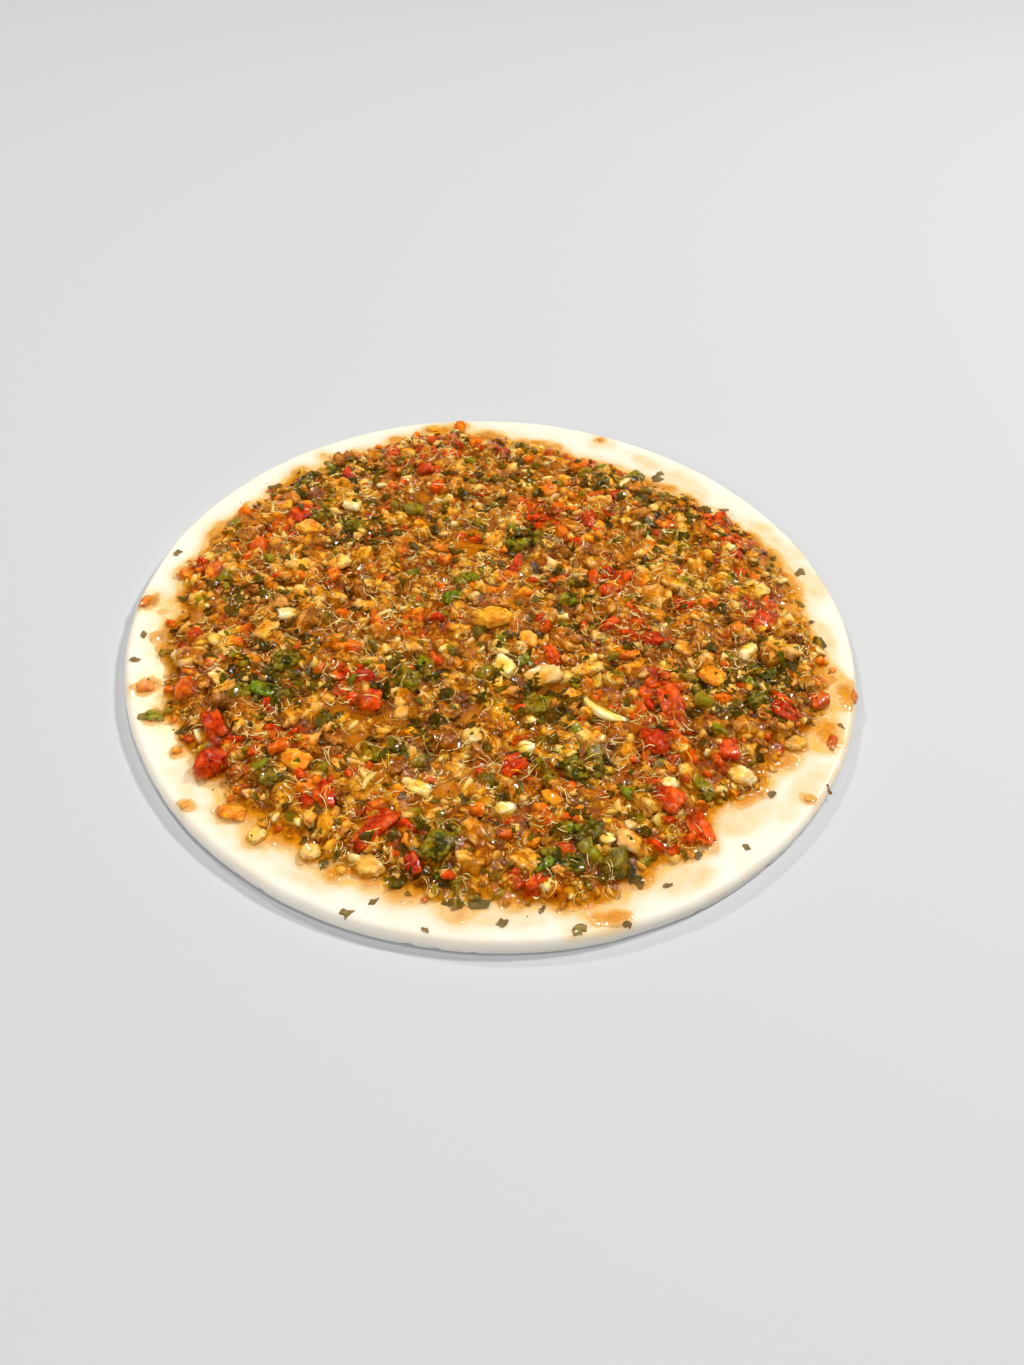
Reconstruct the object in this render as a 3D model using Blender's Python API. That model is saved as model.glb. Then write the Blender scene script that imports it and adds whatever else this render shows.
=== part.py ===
"""A raw lahmacun: a thin round of white dough, spread nearly to its rim with wet chopped meat and vegetables.

Metres, +Z up. The origin is the centre of the dough's underside, and the picture is taken from the -Y side.
There are two solids: the dough, with the crumbs and leaf flakes that stick to its bare rim, and the topping,
a low uneven spread with its larger pieces fused on. Both come from the sizes below, so they change together.
"""

import math
import random

import bmesh
import bpy
from mathutils import Euler, Matrix, Vector, noise

MM = 0.001

# Dough
DOUGH_RADIUS = 75.0 * MM
DOUGH_THICKNESS = 3.6 * MM
DOUGH_SIDES = 96
TOP_EDGE_ROUND = 1.5 * MM
TOP_EDGE_STEPS = 3
FOOT_ROUND = 0.5 * MM
RIM_WOBBLE = 0.25 * MM
RIM_WAVES = 5.0

# Topping
NODE_GAP = 0.3 * MM
SPREAD_BOTTOM = DOUGH_THICKNESS + NODE_GAP
SPREAD_EDGE_HEIGHT = 0.7 * MM
EDGE_UNDERCUT = 0.5
SPREAD_HEIGHT = 2.5 * MM
SPREAD_SLOPE = 8.0 * MM
SPREAD_RINGS = 25
MOUND_SIZE, MOUND_HEIGHT = 17.0 * MM, 0.8 * MM
LUMP_SIZE, LUMP_HEIGHT = 6.5 * MM, 1.3 * MM
OUTLINE_WOBBLE = 1.5 * MM
OUTLINE_WAVES = 9.0
OUTLINE_DRAW = 4.0
# How far the spread reaches from the centre at every 15 degrees, counter-clockwise from +X.
REACH_MM = (
    67.0, 65.5, 67.5, 64.0, 62.5, 63.0, 66.5, 70.0, 67.0, 68.0, 68.0, 67.0,
    67.5, 67.5, 68.5, 67.0, 67.0, 67.0, 67.5, 68.5, 66.5, 63.5, 65.5, 69.5,
)  # fmt: skip

# The largest pieces, each as x, y, length, width in millimetres and its turn in degrees.
RED_PIECES = (
    (-49.0, -42.5, 7.0, 6.0, 70), (-50.5, -34.5, 7.0, 4.0, 110), (-25.0, -21.0, 5.5, 4.5, 20),
    (-22.5, -26.5, 4.5, 4.5, 0), (5.5, -40.0, 7.0, 6.0, 30), (33.5, -45.0, 5.5, 4.5, 150),
    (39.0, -49.0, 8.0, 4.0, 112), (31.5, -32.0, 6.5, 5.5, 80), (35.5, -22.5, 8.0, 4.5, 115),
    (32.0, -4.5, 6.0, 4.5, 0), (57.5, -22.0, 5.5, 4.0, 165), (45.5, -33.0, 3.8, 3.5, 0),
    (-17.5, -55.5, 9.0, 3.0, 52), (-10.5, -61.5, 4.0, 3.5, 90), (-27.5, -49.0, 5.5, 4.0, 100),
    (12.0, -10.5, 5.5, 3.2, 110), (11.0, -63.5, 5.5, 2.4, 42), (-45.5, 28.0, 5.5, 5.0, 120),
    (-5.5, 41.5, 4.5, 2.8, 90), (-16.0, 41.5, 4.0, 3.2, 100), (-19.5, 48.0, 5.0, 4.0, 20),
    (19.5, 33.0, 6.0, 3.8, 80), (52.5, 24.0, 5.0, 2.6, 68), (50.0, 37.0, 6.0, 4.0, 30),
    (-28.0, 54.5, 4.5, 3.2, 100), (39.5, 6.0, 4.0, 3.2, 60), (56.5, 3.5, 5.0, 4.0, 150),
)  # fmt: skip
ORANGE_PIECES = (
    (-0.5, -1.5, 7.0, 5.5, 20), (-52.5, 16.0, 4.5, 4.0, 80), (-42.5, 23.0, 5.5, 5.0, 140),
    (-58.0, -26.0, 4.5, 3.8, 20), (-29.0, -12.5, 5.5, 4.0, 150), (-43.5, -52.5, 6.5, 4.0, 165),
    (-34.0, -42.0, 5.5, 3.5, 160), (27.0, -8.5, 5.0, 4.0, 20), (44.0, -14.0, 4.5, 4.0, 150),
    (10.0, 42.5, 4.5, 3.8, 60), (-66.0, 8.5, 4.5, 3.5, 60), (17.0, 54.0, 5.0, 4.5, 90),
    (65.0, -17.0, 4.5, 3.6, 30), (-37.5, -39.0, 4.5, 3.5, 20), (-60.0, 7.5, 4.5, 3.2, 120),
)  # fmt: skip
GREEN_PIECES = (
    (-42.5, -25.5, 6.5, 5.0, 165), (-47.5, -26.5, 5.5, 4.5, 30), (-40.5, -17.5, 5.0, 4.2, 20),
    (-16.0, -20.0, 8.0, 5.0, 150), (9.0, -24.5, 6.0, 5.0, 70), (-6.5, -58.5, 6.5, 4.5, 70),
    (24.0, -59.0, 7.0, 6.5, 0), (16.5, -60.5, 4.2, 3.4, 10), (19.5, -54.0, 6.0, 3.4, 60),
    (-9.5, 4.5, 4.0, 3.2, 20), (3.5, 23.0, 5.0, 4.5, 60), (40.0, -41.0, 5.5, 2.6, 120),
    (-38.0, -45.5, 5.5, 5.0, 0), (17.0, -40.0, 5.0, 4.2, 0), (30.5, 50.0, 4.0, 3.4, 50),
    (52.5, -19.5, 5.5, 3.4, 30), (-33.0, 25.0, 4.5, 3.0, 15), (23.0, 46.5, 3.8, 3.4, 80),
)  # fmt: skip
PALE_PIECES = (
    (2.5, -15.0, 5.5, 4.2, 150), (22.0, -25.0, 9.5, 2.8, 147), (19.5, -11.5, 4.5, 4.0, 40),
    (10.5, -17.0, 7.5, 4.2, 25), (-38.0, -57.0, 4.8, 4.2, 60), (-28.0, -60.0, 6.0, 4.8, 20),
    (-11.5, -46.0, 6.5, 3.4, 150), (4.5, -49.5, 4.5, 4.0, 150), (47.5, -38.0, 5.5, 5.0, 0),
    (-18.0, -62.0, 5.5, 5.0, 0), (52.0, -6.0, 4.5, 4.0, 30), (61.0, -5.0, 4.0, 3.2, 20),
    (59.0, -28.0, 6.5, 4.5, 160), (-52.0, -23.0, 5.5, 4.4, 150), (-27.0, 6.5, 4.5, 4.4, 0),
    (26.5, -54.5, 4.6, 4.4, 0), (-3.0, -34.0, 4.6, 3.4, 20), (28.0, 47.5, 5.5, 2.6, 48),
)  # fmt: skip
PIECE_HEIGHT_SHARE = 0.72
MOST_PIECE_HEIGHT = 3.6 * MM
PIECE_RISE_SHARE = 0.06
LEAST_CENTRE_SHARE = 0.75
EDGE_CLEARANCE = 2.2 * MM
EDGE_PIECE_SHARE = 0.7
MOST_TILT = math.radians(16.0)

# Smaller pieces fill the spread between the largest, at even spacing.
FILL_SPACING = 9.4 * MM
FILL_ROW_SPACING = FILL_SPACING * math.sqrt(0.75)
FILL_JITTER = 0.3
FILL_LENGTH = (3.4 * MM, 4.8 * MM)
FILL_WIDTH_SHARE = (0.65, 0.95)
DICE_SHARE = 0.3
ROOM_BESIDE_LARGE = 2.3 * MM
ROOM_SHARE = 0.75

# The shapes of one unit across that the pieces are scaled from.
CORNER_JITTER = 0.16
DICE_SIDE = 0.9
DICE_TAPER = 0.68
LEAF_CORNERS = 6
LEAF_STRETCH = (0.7, 1.2)

# What sticks to the bare rim: leaf flakes and crumbs of topping, as x, y, length, width in millimetres and turn.
RIM_FLAKES = (
    (-20.8, -71.0, 3.2, 2.4, 20), (18.3, -71.2, 2.8, 2.6, 0), (5.2, -70.8, 2.4, 1.8, 60),
    (-70.9, -10.2, 2.4, 2.2, 20), (-70.8, -17.2, 2.2, 1.5, 10), (-70.6, 15.4, 2.2, 1.8, 60),
    (51.6, 43.2, 2.4, 1.6, 0), (37.0, 55.8, 2.4, 1.8, 30), (47.5, -52.5, 2.4, 1.6, 60),
    (67.0, 22.5, 3.0, 2.4, 60), (-64.5, -32.0, 2.8, 2.2, 160),
)  # fmt: skip
RIM_CRUMBS = (
    (-73.7, -0.5, 4.2, 2.6, 85), (73.8, -14.0, 4.4, 2.4, 75), (-13.0, 72.2, 4.0, 3.2, 80),
    (22.5, 69.0, 3.2, 2.6, 40), (59.5, -40.5, 4.4, 2.8, 10), (-52.0, -51.5, 2.8, 2.2, 30),
)  # fmt: skip
FLAKE_THICKNESS = 0.55 * MM
FLAKE_RISE_SHARE = 0.25
CRUMB_HEIGHT_SHARE = 0.6
CRUMB_SINK_SHARE = 0.1

DOUGH_SEED = 27
TOPPING_SEED = 28
WHITE_DOUGH = ("raw_dough", (0.90, 0.85, 0.74), 0.45)
WET_MINCE = ("wet_mince", (0.42, 0.20, 0.05), 0.22)


def material(name, colour, roughness):
    """A plain Principled material of one colour."""
    made = bpy.data.materials.new(name)
    made.use_nodes = True
    shader = made.node_tree.nodes["Principled BSDF"]
    shader.inputs["Base Color"].default_value = (*colour, 1.0)
    shader.inputs["Roughness"].default_value = roughness
    shader.inputs["Metallic"].default_value = 0.0
    return made


def object_of(bm, name, collection):
    """A new object that holds the mesh bm, with its faces pointing out."""
    bmesh.ops.recalc_face_normals(bm, faces=bm.faces)
    mesh = bpy.data.meshes.new(name)
    bm.to_mesh(mesh)
    bm.free()
    made = bpy.data.objects.new(name, mesh)
    collection.objects.link(made)
    return made


def smoothstep(share):
    share = min(max(share, 0.0), 1.0)
    return share * share * (3.0 - 2.0 * share)


def reach(angle):
    """The distance from the centre to the edge of the spread, in metres, at an angle in radians."""
    count = len(REACH_MM)
    place = (angle / math.tau * count) % count
    low = int(place)
    share = smoothstep(place - low)
    even = REACH_MM[low] * (1.0 - share) + REACH_MM[(low + 1) % count] * share
    around = Vector((math.cos(angle), math.sin(angle), 0.0)) * OUTLINE_WAVES
    around.z = OUTLINE_DRAW
    return even * MM + OUTLINE_WOBBLE * noise.noise(around)


def inside_edge(x, y):
    """How far a point lies inside the edge of the spread."""
    return reach(math.atan2(y, x)) - math.hypot(x, y)


def spread_top(x, y):
    """The height of the spread's upper surface, without its larger pieces."""
    point = Vector((x, y, 0.0))
    rise = smoothstep(inside_edge(x, y) / SPREAD_SLOPE)
    mound = MOUND_HEIGHT * noise.noise(point / MOUND_SIZE)
    to_lump_centre = noise.voronoi(point / LUMP_SIZE)[0][0]
    lump = LUMP_HEIGHT * (0.5 - to_lump_centre)
    body = SPREAD_HEIGHT - SPREAD_EDGE_HEIGHT + mound + lump
    return SPREAD_BOTTOM + SPREAD_EDGE_HEIGHT + rise * body


def edges_at(bm, height):
    """The edges that lie at one height, such as a cylinder's upper rim."""
    near = 0.01 * MM
    return [e for e in bm.edges if all(abs(v.co.z - height) < near for v in e.verts)]


def dough_round(collection):
    """The round of dough: a flat foot, an upright side and a rounded upper edge, slightly out of true."""
    bm = bmesh.new()
    bmesh.ops.create_cone(
        bm,
        cap_ends=True,
        segments=DOUGH_SIDES,
        radius1=DOUGH_RADIUS,
        radius2=DOUGH_RADIUS,
        depth=DOUGH_THICKNESS,
        matrix=Matrix.Translation((0.0, 0.0, 0.5 * DOUGH_THICKNESS)),
    )
    for height, offset, segments in (
        (DOUGH_THICKNESS, TOP_EDGE_ROUND, TOP_EDGE_STEPS),
        (0.0, FOOT_ROUND, 1),
    ):
        bmesh.ops.bevel(
            bm,
            geom=edges_at(bm, height),
            offset=offset,
            segments=segments,
            profile=0.5,
            affect="EDGES",
            material=-1,
        )
    for vertex in bm.verts:
        outwards = Vector((vertex.co.x, vertex.co.y, 0.0)).normalized()
        vertex.co += outwards * RIM_WOBBLE * noise.noise(outwards * RIM_WAVES)
    return object_of(bm, "dough", collection)


def round_hexagon(bm):
    """Turns an even triangular grid on a unit hexagon into rings, each as far out as the spread reaches there."""
    sixth = math.pi / 3.0
    for vertex in bm.verts:
        angle = math.atan2(vertex.co.y, vertex.co.x)
        sextant = math.floor(angle / sixth + 1e-6)
        from_middle = angle - (sextant + 0.5) * sixth
        ring = vertex.co.xy.length * math.cos(from_middle) / math.cos(0.5 * sixth)
        along_side = 0.5 + 0.5 * math.tan(from_middle) / math.tan(0.5 * sixth)
        angle = (sextant + along_side) * sixth
        radius = ring * reach(angle)
        vertex.co.x = radius * math.cos(angle)
        vertex.co.y = radius * math.sin(angle)
        vertex.co.z = spread_top(vertex.co.x, vertex.co.y)


def spread_core(collection):
    """The low uneven body of the topping, of triangles of even size, with a blunt edge and a flat underside."""
    bm = bmesh.new()
    bmesh.ops.create_circle(bm, cap_ends=True, cap_tris=True, segments=6, radius=1.0)
    bmesh.ops.rotate(bm, verts=bm.verts, matrix=Matrix.Rotation(math.pi / 6.0, 3, "Z"))
    bmesh.ops.subdivide_edges(bm, edges=bm.edges, cuts=SPREAD_RINGS - 1, use_grid_fill=True)
    round_hexagon(bm)
    edge = [e for e in bm.edges if e.is_boundary]
    side = bmesh.ops.extrude_edge_only(bm, edges=edge)["geom"]
    foot = [item for item in side if isinstance(item, bmesh.types.BMEdge)]
    for vertex in {v for e in foot for v in e.verts}:
        inwards = 1.0 - EDGE_UNDERCUT * SPREAD_EDGE_HEIGHT / vertex.co.xy.length
        vertex.co.x *= inwards
        vertex.co.y *= inwards
        vertex.co.z = SPREAD_BOTTOM
    bmesh.ops.edgenet_fill(bm, edges=foot)
    return object_of(bm, "topping", collection)


def crumb_mesh(draw):
    """A lump of mince, tomato or onion, one unit across."""
    bm = bmesh.new()
    bmesh.ops.create_icosphere(bm, subdivisions=1, radius=0.5)
    for vertex in bm.verts:
        vertex.co *= 1.0 + draw.uniform(-CORNER_JITTER, CORNER_JITTER)
    return bm


def dice_mesh(draw):
    """A soft cut cube of pepper or tomato, one unit across, with a smaller upper face."""
    bm = bmesh.new()
    bmesh.ops.create_cube(bm, size=DICE_SIDE)
    for vertex in bm.verts:
        taper = DICE_TAPER if vertex.co.z > 0.0 else 1.0
        vertex.co.x *= taper * (1.0 + draw.uniform(-CORNER_JITTER, CORNER_JITTER))
        vertex.co.y *= taper * (1.0 + draw.uniform(-CORNER_JITTER, CORNER_JITTER))
        vertex.co.z *= 1.0 + 0.5 * draw.uniform(-CORNER_JITTER, CORNER_JITTER)
    return bm


def leaf_mesh(draw):
    """A flake of leaf, one unit across and one unit thick, as a ragged hexagon."""
    bm = bmesh.new()
    bmesh.ops.create_circle(bm, cap_ends=True, segments=LEAF_CORNERS, radius=0.5)
    for vertex in bm.verts:
        vertex.co *= draw.uniform(*LEAF_STRETCH)
        vertex.co.z = -0.5
    raised = bmesh.ops.extrude_face_region(bm, geom=bm.faces[:])["geom"]
    upper = [item for item in raised if isinstance(item, bmesh.types.BMVert)]
    bmesh.ops.translate(bm, vec=(0.0, 0.0, 1.0), verts=upper)
    return bm


def place(bm, name, collection, size, position, turn, tilt=(0.0, 0.0)):
    """Gives a mesh one unit across its size, turn and tilt, and sets it at a position."""
    bmesh.ops.transform(bm, matrix=Matrix.Diagonal((*size, 1.0)), verts=bm.verts)
    bmesh.ops.transform(bm, matrix=Euler((*tilt, turn)).to_matrix().to_4x4(), verts=bm.verts)
    bmesh.ops.translate(bm, vec=Vector(position), verts=bm.verts)
    bmesh.ops.triangulate(bm, faces=bm.faces)
    return object_of(bm, name, collection)


def set_in_spread(draw, shape, x, y, length, width, turn, name, collection):
    """Sinks one piece into the spread, its lower part hidden."""
    height = min(PIECE_HEIGHT_SHARE * width, MOST_PIECE_HEIGHT)
    if inside_edge(x, y) < EDGE_CLEARANCE:
        height *= EDGE_PIECE_SHARE
    centre = spread_top(x, y) + PIECE_RISE_SHARE * height
    lowest = SPREAD_BOTTOM + LEAST_CENTRE_SHARE * height
    tilt = (draw.uniform(-MOST_TILT, MOST_TILT), draw.uniform(-MOST_TILT, MOST_TILT))
    position = (x, y, max(centre, lowest))
    return place(shape(draw), name, collection, (length, width, height), position, turn, tilt)


def large_pieces():
    """Every large piece as its shape, x, y, length, width and turn, in metres and radians."""
    found = []
    for pieces, shape in (
        (RED_PIECES, crumb_mesh),
        (ORANGE_PIECES, dice_mesh),
        (GREEN_PIECES, dice_mesh),
        (PALE_PIECES, crumb_mesh),
    ):
        for x, y, length, width, turn in pieces:
            found.append((shape, x * MM, y * MM, length * MM, width * MM, math.radians(turn)))
    return found


def fill_places(draw, large):
    """Places on a jittered triangular grid over the spread, clear of its edge and of the large pieces."""
    rows = int(2.0 * DOUGH_RADIUS / FILL_ROW_SPACING)
    for row in range(-rows // 2, rows // 2 + 1):
        for column in range(-rows, rows + 1):
            shift = 0.5 if row % 2 else 0.0
            x = (column + shift + draw.uniform(-FILL_JITTER, FILL_JITTER)) * FILL_SPACING
            y = (row + draw.uniform(-FILL_JITTER, FILL_JITTER)) * FILL_ROW_SPACING
            crowded = any(
                math.hypot(x - large_x, y - large_y) < ROOM_BESIDE_LARGE + ROOM_SHARE * length
                for _, large_x, large_y, length, _, _ in large
            )
            if inside_edge(x, y) > EDGE_CLEARANCE and not crowded:
                yield x, y


def keep_largest_shell(mesh):
    """Removes every shell but the largest: loose scraps, and hollows that the fused pieces have sealed."""
    bm = bmesh.new()
    bm.from_mesh(mesh)
    left = set(bm.verts)
    shells = []
    while left:
        shell, front = set(), [left.pop()]
        while front:
            vertex = front.pop()
            shell.add(vertex)
            for edge in vertex.link_edges:
                other = edge.other_vert(vertex)
                if other in left:
                    left.remove(other)
                    front.append(other)
        shells.append(shell)
    largest = max(shells, key=len)
    bmesh.ops.delete(bm, geom=[v for v in bm.verts if v not in largest], context="VERTS")
    bm.to_mesh(mesh)
    bm.free()


def fuse(target, collection):
    """Joins every object of the collection to the target with one Boolean, and removes them."""
    union = target.modifiers.new("pieces", "BOOLEAN")
    union.operation = "UNION"
    union.solver = "MANIFOLD"
    union.operand_type = "COLLECTION"
    union.collection = collection
    graph = bpy.context.evaluated_depsgraph_get()
    fused = bpy.data.meshes.new_from_object(target.evaluated_get(graph))
    target.modifiers.clear()
    target.data = fused
    keep_largest_shell(fused)
    for piece in list(collection.objects):
        bpy.data.objects.remove(piece)
    bpy.data.collections.remove(collection)


def new_collection(name):
    made = bpy.data.collections.new(name)
    bpy.context.scene.collection.children.link(made)
    return made


def build_dough(scene_collection):
    """The round of dough with what sticks to its rim."""
    draw = random.Random(DOUGH_SEED)
    dough = dough_round(scene_collection)
    stuck = new_collection("stuck_to_rim")
    for number, (x, y, length, width, turn) in enumerate(RIM_FLAKES):
        size = (length * MM, width * MM, FLAKE_THICKNESS)
        position = (x * MM, y * MM, DOUGH_THICKNESS + FLAKE_RISE_SHARE * FLAKE_THICKNESS)
        place(leaf_mesh(draw), f"flake_{number}", stuck, size, position, math.radians(turn))
    for number, (x, y, length, width, turn) in enumerate(RIM_CRUMBS):
        size = (length * MM, width * MM, CRUMB_HEIGHT_SHARE * width * MM)
        position = (x * MM, y * MM, DOUGH_THICKNESS - CRUMB_SINK_SHARE * width * MM)
        place(crumb_mesh(draw), f"crumb_{number}", stuck, size, position, math.radians(turn))
    fuse(dough, stuck)
    dough.data.materials.clear()
    dough.data.materials.append(material(*WHITE_DOUGH))
    return dough


def build_topping(scene_collection):
    """The spread with its large pieces and the smaller ones between them."""
    draw = random.Random(TOPPING_SEED)
    topping = spread_core(scene_collection)
    pieces = new_collection("topping_pieces")
    large = large_pieces()
    for number, (shape, x, y, length, width, turn) in enumerate(large):
        set_in_spread(draw, shape, x, y, length, width, turn, f"large_{number}", pieces)
    for number, (x, y) in enumerate(fill_places(draw, large)):
        length = draw.uniform(*FILL_LENGTH)
        width = length * draw.uniform(*FILL_WIDTH_SHARE)
        shape = dice_mesh if draw.random() < DICE_SHARE else crumb_mesh
        turn = draw.uniform(0.0, math.tau)
        set_in_spread(draw, shape, x, y, length, width, turn, f"fill_{number}", pieces)
    fuse(topping, pieces)
    topping.data.materials.clear()
    topping.data.materials.append(material(*WET_MINCE))
    return topping


def main():
    for old in list(bpy.data.objects):
        bpy.data.objects.remove(old)
    scene_collection = bpy.context.scene.collection
    build_dough(scene_collection)
    build_topping(scene_collection)


main()
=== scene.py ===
"""Looks of a raw lahmacun: white dough, a juicy minced spread, and every kind of chopped piece in it.

The file is laid out as a Blender add-on and run as a script. Everything is in metres in the frame of the
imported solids: +Z up, the origin in the middle of the dough's underside, and the camera on the -Y side.
"""

import functools
import math

import bmesh
import bpy
import numpy as np
from mathutils import Matrix, Vector, noise


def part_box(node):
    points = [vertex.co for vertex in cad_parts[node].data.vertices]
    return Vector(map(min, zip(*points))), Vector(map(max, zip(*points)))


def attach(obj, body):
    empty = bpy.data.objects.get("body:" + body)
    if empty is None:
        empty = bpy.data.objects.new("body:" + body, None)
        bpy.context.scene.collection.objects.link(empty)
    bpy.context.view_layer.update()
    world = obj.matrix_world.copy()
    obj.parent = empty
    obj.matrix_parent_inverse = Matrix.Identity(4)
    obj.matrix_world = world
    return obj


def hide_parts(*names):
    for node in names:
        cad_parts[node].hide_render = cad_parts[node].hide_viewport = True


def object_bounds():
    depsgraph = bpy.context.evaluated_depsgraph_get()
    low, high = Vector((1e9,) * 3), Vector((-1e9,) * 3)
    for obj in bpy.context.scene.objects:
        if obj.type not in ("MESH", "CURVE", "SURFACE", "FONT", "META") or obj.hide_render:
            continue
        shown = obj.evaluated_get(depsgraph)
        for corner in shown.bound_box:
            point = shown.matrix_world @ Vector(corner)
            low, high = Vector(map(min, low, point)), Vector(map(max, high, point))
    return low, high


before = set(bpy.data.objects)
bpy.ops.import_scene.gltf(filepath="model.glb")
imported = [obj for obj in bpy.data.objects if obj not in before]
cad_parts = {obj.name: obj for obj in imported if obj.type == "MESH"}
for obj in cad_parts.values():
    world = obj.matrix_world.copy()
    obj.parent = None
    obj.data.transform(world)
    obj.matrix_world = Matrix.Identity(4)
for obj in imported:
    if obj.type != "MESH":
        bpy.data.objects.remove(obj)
CAD_LOW, CAD_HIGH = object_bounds()

bl_info = {
    "name": "Raw Lahmacun",
    "version": (1, 0, 0),
    "blender": (4, 5, 0),
    "location": "View3D > Sidebar > Lahmacun",
    "description": "Dresses a raw lahmacun: dough, juicy minced spread and its chopped pieces",
    "category": "Add Mesh",
}

MM = 0.001
NODE_GAP = 0.3 * MM
DOUGH_RADIUS = 0.5 * (CAD_HIGH.x - CAD_LOW.x)
DOUGH_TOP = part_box("topping")[0].z - NODE_GAP
HIGHEST = CAD_HIGH.z
EDGE_ROUND = 1.5 * MM
EDGE_LEFT = 0.97  # the share of the rounded edge over which its drop is worked out
MERGE = 0.001 * MM

# How far the spread reaches from the centre at every 15 degrees, counter-clockwise from +X.
REACH_MM = (
    67, 65.5, 67.5, 64, 62.5, 63, 66.5, 70, 67, 68, 68, 67, 67.5, 67.5, 68.5, 67, 67, 67, 67.5, 68.5, 66.5,
    63.5, 65.5, 69.5,
)  # fmt: skip
OUTLINE_WOBBLE, OUTLINE_WAVES, OUTLINE_DRAW = 1.5 * MM, 9.0, 4.0
RIM_WOBBLE, RIM_WAVES = 0.25 * MM, 5.0
RIM_RIPPLE, RIM_RIPPLES = 0.07 * MM, 21.0
TEAR_DEPTH, TEAR_WAVES, TEAR_HEIGHT = 1.1 * MM, 34.0, 1.4 * MM
TOP_FROM, TOP_WAVES = 1.0 * MM, 7.0 * MM
DOUGH_STEPS = 540
CUT_DEPTH, CUT_ROUNDS = 0.2 * MM, 8

# The largest pieces: x, y, length, width in millimetres, turn in degrees, and shade, 0 deep to 1 bright.
RED_PEPPER_PIECES = (
    (-49, -42.5, 6, 5, 70, 0.3), (-50.5, -34.5, 7, 4, 110, 0.5), (-25, -21, 5.5, 4.5, 20, 0.1),
    (-22.5, -26.5, 4.5, 4.5, 0, 0.7), (5.5, -40, 6, 4.8, 30, 0.4), (33.5, -45, 5.5, 4.5, 150, 0.6),
    (39, -49, 8, 4, 112, 0.8), (31.5, -32, 6.5, 5.5, 80, 0.3), (35.5, -22.5, 8, 4.5, 115, 0.8),
    (32, -4.5, 6, 4.5, 0, 0.4), (57.5, -22, 5.5, 4, 165, 0.2), (45.5, -33, 3.8, 3.5, 0, 0.8),
    (-17.5, -55.5, 9, 3, 52, 0.4), (-10.5, -61.5, 4, 3.5, 90, 0.4), (-27.5, -49, 5.5, 4, 100, 0.8),
    (12, -10.5, 5.5, 3.2, 110, 0.9), (11, -63.5, 5.5, 2.4, 42, 0.5), (-45.5, 28, 5.5, 5, 120, 0.5),
    (-5.5, 41.5, 4.5, 2.8, 90, 0.2), (-16, 41.5, 4, 3.2, 100, 0.5), (-19.5, 48, 5, 4, 20, 0.4),
    (19.5, 33, 6, 3.8, 80, 0.5), (52.5, 24, 5, 2.6, 68, 0.4), (50, 37, 6, 4, 30, 0.7),
    (-28, 54.5, 4.5, 3.2, 100, 0.5), (39.5, 6, 4, 3.2, 60, 0.4), (56.5, 3.5, 5, 4, 150, 0.8),
    (66.5, -27, 3.2, 2, 60, 0.2), (3, 14, 3, 2.6, 0, 0.5), (47.5, 22.5, 4, 2, 80, 0.3),
    (-66, -7, 2.6, 2, 0, 0.4), (26, 43, 3.6, 2.5, 70, 0.2), (8, 32.5, 6, 2.8, 20, 0.4),
    (-6, 24, 2.6, 2.4, 0, 0.6), (24, -0.5, 4.6, 2.8, 30, 0.8), (-36, 53, 3, 2.4, 50, 0.3),
)  # fmt: skip
TOMATO_PIECES = (
    (-0.5, -1.5, 7, 5.5, 20, 1), (-52.5, 16, 4.5, 4, 80, 0.2), (-42.5, 23, 5.5, 5, 140, 0.9),
    (-58, -26, 4.5, 3.8, 20, 0.3), (-29, -12.5, 5.5, 4, 150, 0.4), (-43.5, -52.5, 4.6, 3.2, 165, 0.8),
    (-34, -42, 5.5, 3.5, 160, 0.9), (27, -8.5, 5, 4, 20, 0.7), (44, -14, 4.5, 4, 150, 0.8),
    (10, 42.5, 4.5, 3.8, 60, 0.6), (-66, 8.5, 4.5, 3.5, 60, 0.5), (17, 54, 5, 4.5, 90, 0.5),
    (65, -17, 4.5, 3.6, 30, 0.2), (-37.5, -39, 4.5, 3.5, 20, 0.3), (-60, 7.5, 4.5, 3.2, 120, 0.4),
    (10.5, -2.5, 3.2, 2.6, 20, 0.1), (7, -7.5, 3.2, 3, 0, 1), (-35, 9, 4, 3, 40, 0.5),
    (-12, 16, 4, 3, 70, 0.4), (37, 33, 4.2, 3.2, 10, 0.4), (-8, 60, 4, 3, 30, 0.3),
)  # fmt: skip
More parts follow.
